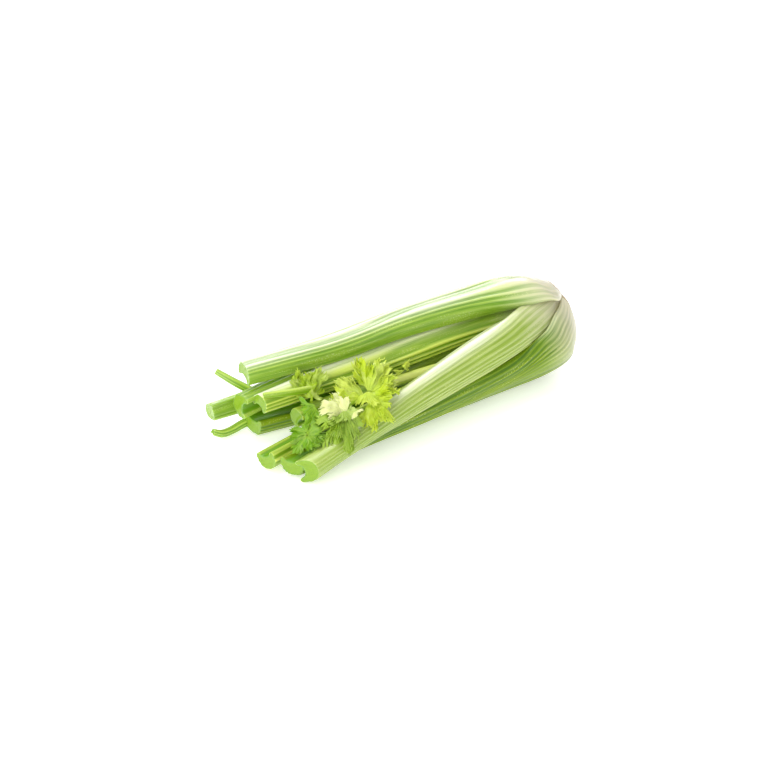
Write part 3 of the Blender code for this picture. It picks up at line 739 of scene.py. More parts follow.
# Core of the root: (radius, distance behind the cut) from the middle of the trimmed face outward,
# over its ragged rim and down to a blunt end hidden between the feet of the stalks.
CORE_PROFILE = ((0.6, 0.1), (1.8, 0.0), (3.2, -0.1), (4.6, -0.2), (6.0, -0.2), (7.2, -0.1),
                (8.8, 0.0), (10.2, 0.3), (11.2, 1.2), (11.8, 3.0), (12.2, 6.0), (12.6, 9.0),
                (12.6, 12.0), (10.0, 17.0), (4.0, 21.0), (0.6, 21.5))
CORE_SPOKES = 120
CORE_SPLITS = 4

# The trimmed face: width and height of its torn fibres and of its lumps.
TORN_GRAIN = 1.1
TORN_HEIGHT = 0.35
TORN_RIM = 0.5
LUMP_GRAIN = 3.5
LUMP_HEIGHT = 0.5


def crown_surface():
    """The solid core of the root, with its rough trimmed face."""
    surface = Surface()
    profile = smooth_rows(np.array(CORE_PROFILE), CORE_SPLITS)
    turn = np.linspace(0.0, 360.0, CORE_SPOKES, endpoint=False)
    radials = np.array([crown_radial(angle) for angle in turn])
    facing = np.array(CROWN_FACING)
    axis_points = np.array(CROWN_CUT_CENTRE) - facing * profile[:, 1:2]
    out_of_round = 0.05 * np.sin(np.radians(3 * turn + 40))
    wave = 1.0 + out_of_round + 0.02 * np.sin(np.radians(11 * turn))
    places = axis_points[:, None] + radials[None] * (profile[:, :1] * wave)[..., None]
    rough = noise_at(places, TORN_GRAIN, 3.0).reshape(places.shape[:2])
    lumps = noise_at(places, LUMP_GRAIN, 5.0).reshape(places.shape[:2])
    near_cut = 1.0 - smoothstep(0.5, 4.0, profile[:, 1:2])
    near_rim = near_cut * smoothstep(6.0, 9.0, profile[:, :1])
    places = places + facing * ((TORN_HEIGHT * rough + LUMP_HEIGHT * lumps) * near_cut)[..., None]
    places = places + radials[None] * (TORN_RIM * rough * near_rim)[..., None]
    ids = surface.add_points(places).reshape(places.shape[:2])
    wrapped = np.concatenate([ids, ids[:, :1]], axis=1)
    u, v = np.meshgrid(np.linspace(0.0, 60.0, wrapped.shape[1]), np.arange(len(profile)) * 1.0)
    surface.add_grid(wrapped, u, v)
    for row in (0, -1):
        middle = surface.add_points(places[row].mean(axis=0))
        nearby = np.stack([ids[row], np.roll(ids[row], -1), np.repeat(middle, CORE_SPOKES)], axis=-1)
        fan = nearby if row == 0 else nearby[:, ::-1]
        surface.add_faces(fan, np.zeros(fan.shape + (2,)))
    return surface


# ---------------------------------------------------------------------------------------------
# Leaves
# ---------------------------------------------------------------------------------------------

# Points of a blade, its teeth, and the share of its length lost between lobes and on outer ones.
SPOKES_PER_LOBE = 36
BLADE_ROWS = 20
BLADE_STARTS = 0.06
TEETH_PER_LOBE = 4
FINE_TEETH = 3
FINE_TOOTH_SHARE = 0.30
LOBE_NOTCH = 0.17
OUTER_LOBE_LOSS = 0.12

# Relief of a blade: the fold of each lobe and the waves of its edge as shares of its length, and
# the height and width of its crumples in millimetres.
LOBE_FOLD = 0.035
RUFFLE = 0.13
FRILL = 0.045
CRUMPLE = 3.0
CRUMPLE_GRAIN = 5.0

# Half width of a main vein in millimetres, and of a side vein as a share of its tooth.
VEIN_WIDTH = 0.5
SIDE_VEIN_WIDTH = 0.16


def leaflet_outline(leaflet, length, seed):
    """For every spoke: its angle, its place across its lobe, its tooth and how far it reaches."""
    half = math.radians(leaflet.spread)
    theta = np.linspace(-half, half, leaflet.lobes * SPOKES_PER_LOBE + 1)
    phase = leaflet.lobes * (theta + half) / (2 * half)
    lobe = np.minimum(np.floor(phase), leaflet.lobes - 1)
    across = 2.0 * (phase - lobe) - 1.0
    lobe_angle = (2 * lobe + 1 - leaflet.lobes) / leaflet.lobes
    tooth = TEETH_PER_LOBE * phase
    notch = np.abs(2.0 * (tooth - np.floor(tooth)) - 1.0)
    uneven_teeth = 0.85 + 0.5 * np.sin(5.1 * np.floor(tooth + 0.5) + 3.0 * seed)
    notch = notch * uneven_teeth
    fine_tooth = FINE_TEETH * tooth
    notch = notch + FINE_TOOTH_SHARE * np.abs(2.0 * (fine_tooth - np.floor(fine_tooth)) - 1.0)
    reach = length * (1.0 - OUTER_LOBE_LOSS * np.abs(lobe_angle) ** 1.5)
    uneven_lobes = 0.96 + 0.13 * np.sin(2.3 * lobe + 5.0 * seed)
    reach = reach * uneven_lobes
    reach = reach * (1.0 - LOBE_NOTCH * np.abs(across) ** 1.7) * (1.0 - sizes().tooth_depth * notch)
    return theta, across, tooth, reach


def leaflet_places(leaflet, seed):
    """Places of the blade's grid, its veins and how far each place is from the base."""
    base, tip = np.array(leaflet.base, float), np.array(leaflet.tip, float)
    length = np.linalg.norm(tip - base)
    forward = (tip - base) / length
    facing = np.array(leaflet.facing, float)
    up = unit(facing - forward * (facing @ forward))
    half_bend = 0.5 * leaflet.curl
    lifted = forward * math.cos(half_bend) + up * math.sin(half_bend)
    raised = up * math.cos(half_bend) - forward * math.sin(half_bend)
    sideways = np.cross(raised, lifted)
    theta, across, tooth, reach = leaflet_outline(leaflet, length, seed)
    rho = np.linspace(BLADE_STARTS, 1.0, BLADE_ROWS)[:, None]
    radius = rho * reach[None]
    swept = theta * (0.85 + 0.15 * rho)
    x, y = radius * np.cos(swept), radius * np.sin(swept)
    z = -leaflet.cup * y * y / length
    z = z + LOBE_FOLD * length * rho * np.abs(across) ** 1.3
    z = z + RUFFLE * length * rho ** 2 * np.sin(3.1 * theta + 2.1 * seed)
    z = z + FRILL * length * rho ** 3 * np.sin(13.0 * theta + seed + 2.0 * rho)
    turn = leaflet.curl * x / length
    along = length * np.sin(turn) / leaflet.curl + z * np.sin(turn)
    height = -length * (1.0 - np.cos(turn)) / leaflet.curl + z * np.cos(turn)
    places = base + lifted * along[..., None] + sideways * y[..., None] + raised * height[..., None]
    crumple = np.stack([noise_at(places, CRUMPLE_GRAIN, seed + k) for k in range(3)], axis=-1)
    places = places + CRUMPLE * rho[..., None] * crumple.reshape(places.shape)
    lobe_half = math.radians(leaflet.spread) / leaflet.lobes
    main_vein = np.exp(-(radius * across * lobe_half / VEIN_WIDTH) ** 2)
    side = tooth - np.floor(tooth) - 0.5
    side_vein = np.exp(-(side / SIDE_VEIN_WIDTH) ** 2) * smoothstep(0.25, 0.6, rho)
    vein = np.maximum(main_vein, 0.6 * side_vein) * (1.0 - 0.35 * rho)
    return places, vein, np.broadcast_to(rho, vein.shape)


def add_plate(surface, places, thickness, **values):
    """A thin closed plate on both sides of a grid of places."""
    across = np.gradient(places, axis=1)
    along = np.gradient(places, axis=0)
    normal = unit(np.cross(along, across) + 1e-9)
    shape = places.shape[:2]
    thickness = thickness * np.linspace(0.3, 1.0, shape[0])[:, None, None]
    flat = {name: value.ravel() for name, value in values.items()}
    upper = surface.add_points(places + 0.5 * thickness * normal, **flat).reshape(shape)
    lower = surface.add_points(places - 0.5 * thickness * normal, **flat).reshape(shape)
    u, v = np.meshgrid(np.arange(shape[1]) * 0.7, np.arange(shape[0]) * 1.3)
    surface.add_grid(upper, u, v, flip=True)
    surface.add_grid(lower, u, v)
    loops = [np.concatenate([grid[0, :-1], grid[:-1, -1], grid[-1, :0:-1], grid[:0:-1, 0]])
             for grid in (upper, lower)]
    rim = np.stack([loops[0], np.roll(loops[0], -1), np.roll(loops[1], -1), loops[1]], axis=-1)
    surface.add_faces(rim[:, ::-1], np.zeros(rim.shape + (2,)))


LEAF_RIB_SIDES = 12
LEAF_RIB_ROWS = 12
LEAF_RIB_BOW = 0.08
LEAF_RIB_TAPER = 0.45
LEAF_RIB_VEIN = 0.8


def add_leaf_rib(surface, start, end, diameter):
    """A round leaf stalk that thins and bows a little on its way to the leaflets."""
    start, end = np.array(start, float), np.array(end, float)
    share = np.linspace(0.0, 1.0, LEAF_RIB_ROWS)[:, None]
    bow = np.array([0.0, 0.0, LEAF_RIB_BOW * np.linalg.norm(end - start)])
    centres = start + (end - start) * share + bow * np.sin(math.pi * share)
    tangents = unit(np.gradient(centres, axis=0))
    side = unit(np.cross(tangents, [0.0, 0.0, 1.0]))
    up = np.cross(side, tangents)
    turn = np.linspace(0.0, 2 * math.pi, LEAF_RIB_SIDES, endpoint=False)
    radius = 0.5 * diameter * (1.0 - LEAF_RIB_TAPER * share)
    places = (centres[:, None] + side[:, None] * (radius * np.cos(turn))[..., None]
              + up[:, None] * (radius * np.sin(turn))[..., None])
    ids = surface.add_points(places, vein=LEAF_RIB_VEIN).reshape(places.shape[:2])
    wrapped = np.concatenate([ids, ids[:, :1]], axis=1)
    u, v = np.meshgrid(np.arange(wrapped.shape[1]) * 0.7, np.arange(wrapped.shape[0]) * 1.3)
    surface.add_grid(wrapped, u, v)
    for ring, order in ((ids[0], 1), (ids[-1], -1)):
        surface.add_faces(ring[None, ::order], np.zeros((1, LEAF_RIB_SIDES, 2)))


LEAFLET_SEED_STEP = 1.7


def leaf_surface(leaf, seed):
    """All the leaflets of one leaf and the stems between them."""
    surface = Surface("vein", "reach", "pale")
    for i, leaflet in enumerate(leaf.leaflets):
        places, vein, reach = leaflet_places(leaflet, seed + LEAFLET_SEED_STEP * i)
        # pale is each leaflet's share of painted highlight.
        add_plate(surface, places, sizes().blade_thickness / MM, vein=vein, reach=reach,
                  pale=np.full(vein.shape, leaflet.pale))
    for start, end, diameter in leaf.ribs:
        add_leaf_rib(surface, start, end, diameter)
    return surface


# ---------------------------------------------------------------------------------------------
# Materials
# ---------------------------------------------------------------------------------------------


def add_node(tree, kind, settings=None, links=None):
    """Add a node, set its properties and input values, and link its inputs from other sockets."""
    node = tree.nodes.new(kind)
    for key, value in (settings or {}).items():
        if isinstance(key, int) or key in node.inputs:
            node.inputs[key].default_value = value
        else:
            setattr(node, key, value)
    for key, socket in (links or {}).items():
        tree.links.new(socket, node.inputs[key])
    return node


def new_material(name, **shader_values):
    """A material with one Principled shader, its plain values set on its own sockets."""
    material = bpy.data.materials.new(name)
    material.use_nodes = True
    shader = material.node_tree.nodes["Principled BSDF"]
    for key, value in shader_values.items():
        shader.inputs[key.replace("_", " ")].default_value = value
    return material, material.node_tree, shader


MIX_FACTOR, MIX_A, MIX_B, MIX_RESULT = 0, 6, 7, 2

# Skin patterns in millimetres.  A row of skin cells is about 0.05 mm wide and the air spots between
# the ribs are smaller than 0.5 mm; both are drawn several times as coarse, so that they show.
STRAND_STRETCH = 70
STREAK_WIDTH = 5.0
STREAK_LENGTH = 60.0
SPOT_ACROSS = 1.5
SPOT_ALONG = 2.2
PALE_UP_RIBS = 22.0
RIM_FLECK = 1.1
RIM_RAGGEDNESS = 16.0
RIM_DRY_FROM = -4.3
RIM_DRY_TO = -5.5


def drawn_out_noise(tree, fibres, width, length, settings):
    """Noise drawn out along the fibres, in streaks of this width and length in metres."""
    stretched = add_node(tree, "ShaderNodeMapping", {"Scale": (1 / width, 1 / length, 1.0)},
                         {"Vector": fibres}).outputs["Vector"]
    return add_node(tree, "ShaderNodeTexNoise", {"Scale": 1.0, **settings},
                    {"Vector": stretched}).outputs["Fac"]


def rib_light(tree, crest, fine, broad):
    """How much of the crest colour shows: the painted ribs, broken up by strands and streaks."""
    fine_share = add_node(tree, "ShaderNodeMath", {"operation": "MULTIPLY_ADD", 1: 1.1, 2: -0.55},
                          {0: fine}).outputs["Value"]
    broad_share = add_node(tree, "ShaderNodeMath", {"operation": "MULTIPLY_ADD", 1: 0.9, 2: -0.45},
                           {0: broad}).outputs["Value"]
    lightness = add_node(tree, "ShaderNodeMath", {"operation": "ADD"},
                         {0: fine_share, 1: broad_share}).outputs["Value"]
    return add_node(tree, "ShaderNodeMath", {"operation": "ADD", "use_clamp": True},
                    {0: crest, 1: lightness}).outputs["Value"]


def air_spots(tree, fibres, broad):
    """Pale air spots under the skin, in rows along its lighter streaks."""
    rows = add_node(tree, "ShaderNodeMapping",
                    {"Scale": (1 / (SPOT_ACROSS * MM), 1 / (SPOT_ALONG * MM), 1.0)},
                    {"Vector": fibres}).outputs["Vector"]
    distance = add_node(tree, "ShaderNodeTexVoronoi", {"voronoi_dimensions": "2D", "Scale": 1.0},
                        {"Vector": rows}).outputs["Distance"]
    spot = add_node(tree, "ShaderNodeMapRange", {"From Min": 0.30, "From Max": 0.12},
                    {"Value": distance}).outputs["Result"]
    in_streak = add_node(tree, "ShaderNodeMapRange",
                         {"From Min": 0.54, "From Max": 0.62, "To Max": 0.55},
                         {"Value": broad}).outputs["Result"]
    return add_node(tree, "ShaderNodeMath", {"operation": "MULTIPLY"},
                    {0: spot, 1: in_streak}).outputs["Value"]


def painted_sheen_and_hollow(tree, colour, light, frost, hollow):
    """Paint a whitish highlight on the lit edge, most on the crests, then colour the smooth inner face.
    """
    on_crest = add_node(tree, "ShaderNodeMath", {"operation": "MULTIPLY_ADD", 1: 0.70, 2: 0.22},
                        {0: light}).outputs["Value"]
    share = add_node(tree, "ShaderNodeMath", {"operation": "MULTIPLY"},
                     {0: frost, 1: on_crest}).outputs["Value"]
    with_painted_sheen = add_node(tree, "ShaderNodeMix", {"data_type": "RGBA", MIX_B: colours().frost},
                       {MIX_FACTOR: share, MIX_A: colour}).outputs[MIX_RESULT]
    return add_node(tree, "ShaderNodeMix", {"data_type": "RGBA", MIX_B: colours().hollow},
                    {MIX_FACTOR: hollow, MIX_A: with_painted_sheen}).outputs[MIX_RESULT]


def blanched_and_trimmed(tree, colour, light, along):
    """Skin that grew in the dark turns cream, further up the ribs, and its cut rim dries brown."""
    reach = add_node(tree, "ShaderNodeMath", {"operation": "MULTIPLY_ADD", 1: -PALE_UP_RIBS * MM},
                     {0: light, 2: along}).outputs["Value"]
    length = sizes().blanched_length
    greening = add_node(tree, "ShaderNodeMapRange",
                        {"interpolation_type": "SMOOTHSTEP", "From Min": -0.15 * length,
                         "From Max": 1.15 * length},
                        {"Value": reach}).outputs["Result"]
    skin = add_node(tree, "ShaderNodeMix", {"data_type": "RGBA", MIX_A: colours().blanched},
                    {MIX_FACTOR: greening, MIX_B: colour}).outputs[MIX_RESULT]
    place = add_node(tree, "ShaderNodeTexCoord").outputs["Object"]
    flecks = add_node(tree, "ShaderNodeTexNoise", {"Scale": 1 / (RIM_FLECK * MM), "Detail": 3.0},
                      {"Vector": place}).outputs["Fac"]
    rim = add_node(tree, "ShaderNodeMath", {"operation": "MULTIPLY_ADD", 1: -RIM_RAGGEDNESS * MM},
                   {0: flecks, 2: along}).outputs["Value"]
    dried = add_node(tree, "ShaderNodeMapRange",
                     {"From Min": RIM_DRY_FROM * MM, "From Max": RIM_DRY_TO * MM, "To Max": 0.75},
                     {"Value": rim}).outputs["Result"]
    return add_node(tree, "ShaderNodeMix", {"data_type": "RGBA", MIX_B: colours().root_bark},
                    {MIX_FACTOR: dried, MIX_A: skin}).outputs[MIX_RESULT]


def waxy_skin(name, crest_colour, groove_colour, sheen):
    """Celery skin, grown in ribs over buried strands and covered with a thin natural wax.

    The wax, with an IOR near 1.45, gives a broad soft sheen; sheen is how thick it lies.  The watery
    flesh under it lets a little light through.
    """
    material, tree, shader = new_material(
        name, Roughness=0.34, IOR=1.42, Subsurface_Weight=0.22,
        Subsurface_Radius=(1.0, 1.0, 0.35), Subsurface_Scale=2.5 * MM,
        Coat_Weight=sheen, Coat_Roughness=0.22, Coat_IOR=1.45)
    crest, along, hollow, frost = (
        add_node(tree, "ShaderNodeAttribute", {"attribute_name": key}).outputs["Fac"]
        for key in ("crest", "along", "hollow", "frost"))
    fibres = add_node(tree, "ShaderNodeUVMap", {"uv_map": "fibres"}).outputs["UV"]
    width = sizes().fibre_width
    fine = drawn_out_noise(tree, fibres, width, STRAND_STRETCH * width,
                           {"Detail": 2.0, "Roughness": 0.6})
    broad = drawn_out_noise(tree, fibres, STREAK_WIDTH * MM, STREAK_LENGTH * MM, {"Detail": 3.0})
    light = rib_light(tree, crest, fine, broad)
    spots = air_spots(tree, fibres, broad)
    ribbed = add_node(tree, "ShaderNodeMix",
                      {"data_type": "RGBA", MIX_A: groove_colour, MIX_B: crest_colour},
                      {MIX_FACTOR: light}).outputs[MIX_RESULT]
    spotted = add_node(tree, "ShaderNodeMix", {"data_type": "RGBA", MIX_B: colours().crest_pale},
                       {MIX_FACTOR: spots, MIX_A: ribbed}).outputs[MIX_RESULT]
    # Painted highlight: whitish sheen on the lit edge, then the smooth inner face's colour.
    green = painted_sheen_and_hollow(tree, spotted, light, frost, hollow)
    skin = blanched_and_trimmed(tree, green, light, along)
    tree.links.new(skin, shader.inputs["Base Color"])
    bump = add_node(tree, "ShaderNodeBump", {"Strength": 0.5, "Distance": 0.10 * MM}, {"Height": fine})
    tree.links.new(bump.outputs["Normal"], shader.inputs["Normal"])
    gloss = add_node(tree, "ShaderNodeMapRange", {"To Min": 0.26, "To Max": 0.46}, {"Value": broad})
    tree.links.new(gloss.outputs["Result"], shader.inputs["Roughness"])
    return material


# Cut flesh in millimetres: its wet cells, drawn about three times as coarse as real ones so that
# they show, the green layer under the skin and the depth at which the strands end.
FLESH_CELLS = 0.9
GREEN_LAYER = (0.2, 1.1)
STRANDS_AT = (2.6, 1.7)


def wet_cut_flesh():
    """Raw celery flesh sliced with a knife, nearly all water (IOR 1.36): wet and translucent, with
    the cut strands as darker dots under each rib."""
    material, tree, shader = new_material(
        "wet_cut_flesh", Roughness=0.25, IOR=1.36, Subsurface_Weight=0.4,
        Subsurface_Radius=(1.0, 1.0, 0.4), Subsurface_Scale=2.5 * MM, Coat_Weight=0.3,
        Coat_Roughness=0.12)
    crest, depth = (
        add_node(tree, "ShaderNodeAttribute", {"attribute_name": key}).outputs["Fac"]
        for key in ("crest", "skin_depth"))
    place = add_node(tree, "ShaderNodeTexCoord").outputs["Object"]
    cells = add_node(tree, "ShaderNodeTexNoise", {"Scale": 1 / (FLESH_CELLS * MM), "Detail": 3.0},
                     {"Vector": place}).outputs["Fac"]
    under_skin = add_node(tree, "ShaderNodeMapRange",
                          {"From Min": GREEN_LAYER[0] * MM, "From Max": GREEN_LAYER[1] * MM},
                          {"Value": depth})
    edge = add_node(tree, "ShaderNodeMix",
                    {"data_type": "RGBA", MIX_A: colours().strand, MIX_B: colours().flesh},
                    {MIX_FACTOR: under_skin.outputs["Result"]}).outputs[MIX_RESULT]
    at_crest = add_node(tree, "ShaderNodeMapRange", {"From Min": 0.72, "From Max": 0.92},
                        {"Value": crest}).outputs["Result"]
    shallow = add_node(tree, "ShaderNodeMapRange",
                       {"From Min": STRANDS_AT[0] * MM, "From Max": STRANDS_AT[1] * MM},
                       {"Value": depth})
    dot = add_node(tree, "ShaderNodeMath", {"operation": "MULTIPLY"},
                   {0: at_crest, 1: shallow.outputs["Result"]}).outputs["Value"]
    weak_dot = add_node(tree, "ShaderNodeMath", {"operation": "MULTIPLY", 1: 0.6}, {0: dot})
    dotted = add_node(tree, "ShaderNodeMix", {"data_type": "RGBA", MIX_B: colours().strand},
                      {MIX_FACTOR: weak_dot.outputs["Value"], MIX_A: edge}).outputs[MIX_RESULT]
    shade = add_node(tree, "ShaderNodeMapRange", {"To Min": 0.75, "To Max": 1.2}, {"Value": cells})
    flesh = add_node(tree, "ShaderNodeVectorMath", {"operation": "SCALE"},
                     {"Vector": dotted, "Scale": shade.outputs["Result"]}).outputs["Vector"]
    tree.links.new(flesh, shader.inputs["Base Color"])
    bump = add_node(tree, "ShaderNodeBump", {"Strength": 0.5, "Distance": 0.2 * MM}, {"Height": cells})
    tree.links.new(bump.outputs["Normal"], shader.inputs["Normal"])
    return material


# Trimmed root in millimetres: its torn fibres and the patches in which it browns.
ROOT_FIBRES = 1.6
ROOT_PATCHES = 6.0


def trimmed_root():
    """The root plate sliced off and dried in air: matt, cream, fibrous, browned in flecks."""
    material, tree, shader = new_material(
        "trimmed_root", Roughness=0.62, IOR=1.45, Subsurface_Weight=0.15,
        Subsurface_Radius=(1.0, 0.8, 0.5), Subsurface_Scale=1.5 * MM)
    place = add_node(tree, "ShaderNodeTexCoord").outputs["Object"]
    grain = add_node(tree, "ShaderNodeTexNoise",
                     {"Scale": 1 / (ROOT_FIBRES * MM), "Detail": 5.0, "Roughness": 0.65},
                     {"Vector": place}).outputs["Fac"]
    patches = add_node(tree, "ShaderNodeTexNoise", {"Scale": 1 / (ROOT_PATCHES * MM), "Detail": 2.0},
                       {"Vector": place}).outputs["Fac"]
    both = add_node(tree, "ShaderNodeMath", {"operation": "MULTIPLY_ADD", 1: 0.45},
                    {0: patches, 2: grain}).outputs["Value"]
    brown = add_node(tree, "ShaderNodeMapRange", {"From Min": 0.74, "From Max": 0.92, "To Max": 0.85},
                     {"Value": both}).outputs["Result"]
    mixed = add_node(tree, "ShaderNodeMix",
                     {"data_type": "RGBA", MIX_A: colours().root_flesh, MIX_B: colours().root_bark},
                     {MIX_FACTOR: brown}).outputs[MIX_RESULT]
    tree.links.new(mixed, shader.inputs["Base Color"])
    bump = add_node(tree, "ShaderNodeBump", {"Strength": 0.8, "Distance": 0.5 * MM}, {"Height": grain})
    tree.links.new(bump.outputs["Normal"], shader.inputs["Normal"])
    return material


# Leaf: the size of its darker blotches in millimetres, and what the colour of a blade is multiplied
# by away from its blotches, most toward its tips, and in its blotches (red, green, blue, alpha).
LEAF_BLOTCHES = 5.0
PALE_BLADE = (1.15, 1.08, 1.2, 1.0)
DARK_BLADE = (0.66, 0.86, 0.3, 1.0)


def leaf_blade(name, yellow):
    """Young celery leaf, grown thin and soft under a trace of wax: it glows when lit from behind,
    has a faint sheen and shows pale veins."""
    material, tree, shader = new_material(
        name, Roughness=0.36, IOR=1.40, Coat_Weight=0.15, Coat_Roughness=0.25)
    green, bright = np.array(colours().leaf_green), np.array(colours().leaf_yellow)
    blade = green + (bright - green) * yellow
    vein, reach, pale = (
        add_node(tree, "ShaderNodeAttribute", {"attribute_name": key}).outputs["Fac"]
        for key in ("vein", "reach", "pale"))
    place = add_node(tree, "ShaderNodeTexCoord").outputs["Object"]
    blotches = add_node(tree, "ShaderNodeTexNoise", {"Scale": 1 / (LEAF_BLOTCHES * MM), "Detail": 3.0},
                        {"Vector": place}).outputs["Fac"]
    greener = add_node(tree, "ShaderNodeMath",
                       {"operation": "MULTIPLY_ADD", 1: -0.35, "use_clamp": True},
                       {0: reach, 2: blotches}).outputs["Value"]
    body = add_node(tree, "ShaderNodeMix",
                    {"data_type": "RGBA", MIX_A: tuple(blade * PALE_BLADE),
                     MIX_B: tuple(blade * DARK_BLADE)},
                    {MIX_FACTOR: greener}).outputs[MIX_RESULT]
    # Painted highlight: near-white mixed in by each leaflet's pale value.
    with_painted_highlight = add_node(tree, "ShaderNodeMix", {"data_type": "RGBA", MIX_B: colours().leaf_painted_highlight},
                     {MIX_FACTOR: pale, MIX_A: body}).outputs[MIX_RESULT]
    weak_vein = add_node(tree, "ShaderNodeMath", {"operation": "MULTIPLY", 1: 0.25}, {0: vein})
    veined = add_node(tree, "ShaderNodeMix", {"data_type": "RGBA", MIX_B: colours().leaf_vein},
                      {MIX_FACTOR: weak_vein.outputs["Value"], MIX_A: with_painted_highlight}).outputs[MIX_RESULT]
    tree.links.new(veined, shader.inputs["Base Color"])
    bump = add_node(tree, "ShaderNodeBump", {"Strength": 0.4, "Distance": 0.2 * MM},
                    {"Height": blotches})
    tree.links.new(bump.outputs["Normal"], shader.inputs["Normal"])
    glow = add_node(tree, "ShaderNodeBsdfTranslucent", None, {"Color": veined})
    mixed = add_node(tree, "ShaderNodeMixShader", {0: 0.2},
                     {1: shader.outputs["BSDF"], 2: glow.outputs["BSDF"]})
    tree.links.new(mixed.outputs["Shader"], tree.nodes["Material Output"].inputs["Surface"])
    return material


TABLE_GLOW = 0.38


def lit_acrylic():
    """White acrylic sheet of a light table, sanded matt, with a lamp under it: plain, without a
    reflection, and bright enough to soften the shadows."""
    material, _, shader = new_material("matt_white_acrylic", Roughness=0.9,
                                       Emission_Color=colours().studio, Emission_Strength=TABLE_GLOW)
    shader.inputs["Base Color"].default_value = colours().studio
    return material


# ---------------------------------------------------------------------------------------------
# Pieces
# ---------------------------------------------------------------------------------------------


def place_piece(obj, node):
    """Let a piece stand for its CAD node and ride with the head."""
    if not obj.data.polygons:
        raise RuntimeError(obj.name + " has no faces")
    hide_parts(node)
    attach(obj, "root")


def skin_of(tone):
    """The waxy skin of a tone: its rib colour, groove colour and strength of sheen."""
    tint = colours()
    pairs = {
        "green": (tint.crest_outer, tint.groove_outer, 1.0),
        # The deep tone is painted shade: the outer skin darkened, with less coat, for stalks lying low.
        "deep": (tint.crest_painted_shade, tint.groove_painted_shade, 0.25),
        "pale": (tint.crest_pale, tint.groove_pale, 1.0),
        "inner": (tint.crest_inner, tint.groove_inner, 0.6),
        "heart": (tint.heart_skin, tint.crest_inner, 0.6),
    }
    name = "waxy_skin_" + tone
    return bpy.data.materials.get(name) or waxy_skin(name, *pairs[tone])


def shared(name, make):
    """A material that many pieces use, made the first time it is asked for."""
    return bpy.data.materials.get(name) or make()


# Seeds set how ribs, teeth and folds vary from piece to piece.
STALK_SEED = 0.6
STEM_SEED = 31.0
LEAF_SEED = 2.0
STALK_SEED_STEP = 1.9


def grow(stalks, first_seed):
    """Make every stalk of a table and put it in place of its CAD node."""
    for i, stalk in enumerate(stalks):
        surface = stalk_surface(stalk, first_seed + STALK_SEED_STEP * i)
        materials = (skin_of(stalk.tone), shared("wet_cut_flesh", wet_cut_flesh),
                     shared("trimmed_root", trimmed_root))
        obj = surface.make(stalk.node + "_grown", materials)
        place_piece(obj, stalk.node)


class CELERY_OT_stalks(bpy.types.Operator):
    """Grow the ten ribbed stalks from the root crown"""
    bl_idname = "celery.stalks"
    bl_label = "Stalks"

    def execute(self, context):
        grow(STALKS, STALK_SEED)
        return {"FINISHED"}


class CELERY_OT_stems(bpy.types.Operator):
    """Grow the three thin leaf stems between the stalks"""
    bl_idname = "celery.stems"
    bl_label = "Thin stems"

    def execute(self, context):
        grow(STEMS, STEM_SEED)
        return {"FINISHED"}


class CELERY_OT_crown(bpy.types.Operator):
    """Make the trimmed core of the root"""
    bl_idname = "celery.crown"
    bl_label = "Root crown"

    def execute(self, context):
        obj = crown_surface().make("root_core", (shared("trimmed_root", trimmed_root),))
        place_piece(obj, "root_crown")
        return {"FINISHED"}


class CELERY_OT_leaves(bpy.types.Operator):
    """Unfold the small serrated leaves of the heart"""
    bl_idname = "celery.leaves"
    bl_label = "Heart leaves"

    def execute(self, context):
        for i, leaf in enumerate(LEAVES):
            material = leaf_blade("blade_of_" + leaf.node, leaf.yellow)
            obj = leaf_surface(leaf, LEAF_SEED + i).make(leaf.node + "_unfolded", (material,))
            place_piece(obj, leaf.node)
        return {"FINISHED"}


# Camera: its aim in millimetres, its angles in degrees, its distance in metres and its lens in
# millimetres.  The floor's side is in metres.
CAMERA_AIM = Vector((-14.5, -2.6, 23.7))
CAMERA_AZIMUTH = -28.0
CAMERA_ELEVATION = 32.0
CAMERA_DISTANCE = 1.2
CAMERA_LENS = 73.1
FLOOR_SIZE = 12.0

# Soft boxes: name, the way to them from the head, distance and size in metres, power in watts.
SoftBox = namedtuple("SoftBox", "name toward distance size power")
SOFT_BOXES = (
    SoftBox("soft_box_key", (-0.18, 0.30, 0.95), 1.5, 0.8, 9.3),
    SoftBox("soft_box_wide", (0.0, 0.0, 1.0), 1.8, 3.0, 4.0),
    SoftBox("soft_box_back", (0.35, 0.80, 0.55), 1.7, 0.9, 10.5),
    SoftBox("soft_box_side", (-0.85, -0.5, 0.5), 2.2, 1.8, 28.5),
)
WORLD_STRENGTH = 0.56


def point_along(obj, direction):
    """Turn a camera or light, which look along their own -Z, to look along a direction."""
    obj.rotation_mode = "QUATERNION"
    obj.rotation_quaternion = direction.to_track_quat("-Z", "Y")


def add_camera():
    """Stand the camera back from its aim and make it the scene's own."""
    turn, lift = math.radians(CAMERA_AZIMUTH), math.radians(CAMERA_ELEVATION)
    level = Vector((math.sin(turn), -math.cos(turn), 0.0)) * math.cos(lift)
    back = level + Vector((0.0, 0.0, math.sin(lift)))
    data = bpy.data.cameras.new("camera")
    data.lens = CAMERA_LENS
    obj = bpy.data.objects.new("camera", data)
    bpy.context.scene.collection.objects.link(obj)
    obj.location = CAMERA_AIM * MM + back * CAMERA_DISTANCE
    point_along(obj, -back)
    bpy.context.scene.camera = obj


def add_soft_box(box):
    """Hang one square soft box and turn it to the head."""
    toward = Vector(box.toward).normalized()
    data = bpy.data.lights.new(box.name, "AREA")
    data.shape = "SQUARE"
    data.size = box.size
    data.energy = box.power
    obj = bpy.data.objects.new(box.name, data)
    bpy.context.scene.collection.objects.link(obj)
    obj.location = toward * box.distance
    point_along(obj, -toward)


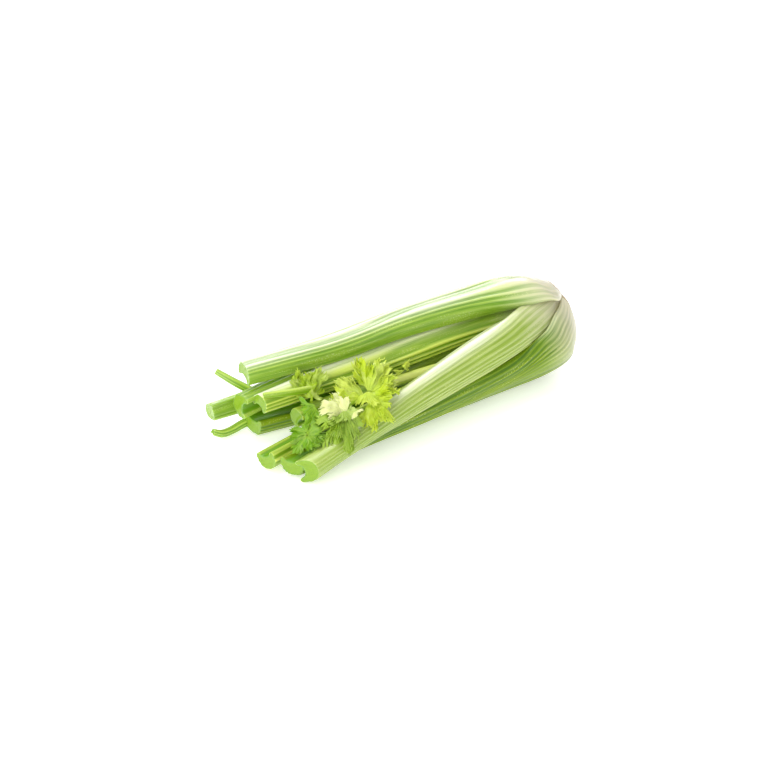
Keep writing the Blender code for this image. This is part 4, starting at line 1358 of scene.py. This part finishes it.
def add_floor():
    """Lay the pale floor that the head rests on."""
    half = 0.5 * FLOOR_SIZE
    mesh = bpy.data.meshes.new("floor")
    mesh.from_pydata([(-half, -half, 0), (half, -half, 0), (half, half, 0), (-half, half, 0)],
                     [], [(0, 1, 2, 3)])
    mesh.materials.append(lit_acrylic())
    obj = bpy.data.objects.new("floor", mesh)
    bpy.context.scene.collection.objects.link(obj)


def light_world():
    """Surround the head with an even pale light."""
    world = bpy.data.worlds.new("studio")
    world.use_nodes = True
    background = world.node_tree.nodes["Background"]
    background.inputs["Color"].default_value = colours().studio
    background.inputs["Strength"].default_value = WORLD_STRENGTH
    bpy.context.scene.world = world


class CELERY_OT_stage(bpy.types.Operator):
    """Set the pale floor, the soft boxes and the camera"""
    bl_idname = "celery.stage"
    bl_label = "Studio"

    def execute(self, context):
        context.scene.view_settings.view_transform = "Standard"
        add_camera()
        for box in SOFT_BOXES:
            add_soft_box(box)
        add_floor()
        light_world()
        if context.scene.camera is None or context.scene.world is None:
            raise RuntimeError("the studio has no camera or no surroundings")
        return {"FINISHED"}


class CELERY_PT_sidebar(bpy.types.Panel):
    """Sizes and colours of the celery head, and a button for each group of pieces"""
    bl_idname = "CELERY_PT_sidebar"
    bl_label = "Celery head"
    bl_space_type = "VIEW_3D"
    bl_region_type = "UI"
    bl_category = "Celery"

    def draw(self, context):
        layout = self.layout
        for group in (context.scene.celery_sizes, context.scene.celery_colours):
            box = layout.box()
            for name in type(group).__annotations__:
                box.prop(group, name)
        for operator in OPERATORS:
            layout.operator(operator.bl_idname)


OPERATORS = (CELERY_OT_stage, CELERY_OT_stalks, CELERY_OT_stems, CELERY_OT_crown, CELERY_OT_leaves)
CLASSES = (CelerySizes, CeleryColours, *OPERATORS, CELERY_PT_sidebar)


def register():
    """Make the groups, operators and panel known and hang the groups on the scene."""
    for cls in CLASSES:
        bpy.utils.register_class(cls)
    bpy.types.Scene.celery_sizes = bpy.props.PointerProperty(type=CelerySizes)
    bpy.types.Scene.celery_colours = bpy.props.PointerProperty(type=CeleryColours)


def unregister():
    """Undo what register does, in the reverse order."""
    del bpy.types.Scene.celery_colours
    del bpy.types.Scene.celery_sizes
    for cls in reversed(CLASSES):
        bpy.utils.unregister_class(cls)


def main():
    """Build the stage and every piece."""
    register()
    bpy.ops.celery.stage()
    bpy.ops.celery.stalks()
    bpy.ops.celery.stems()
    bpy.ops.celery.crown()
    bpy.ops.celery.leaves()


if __name__ == "__main__":
    main()
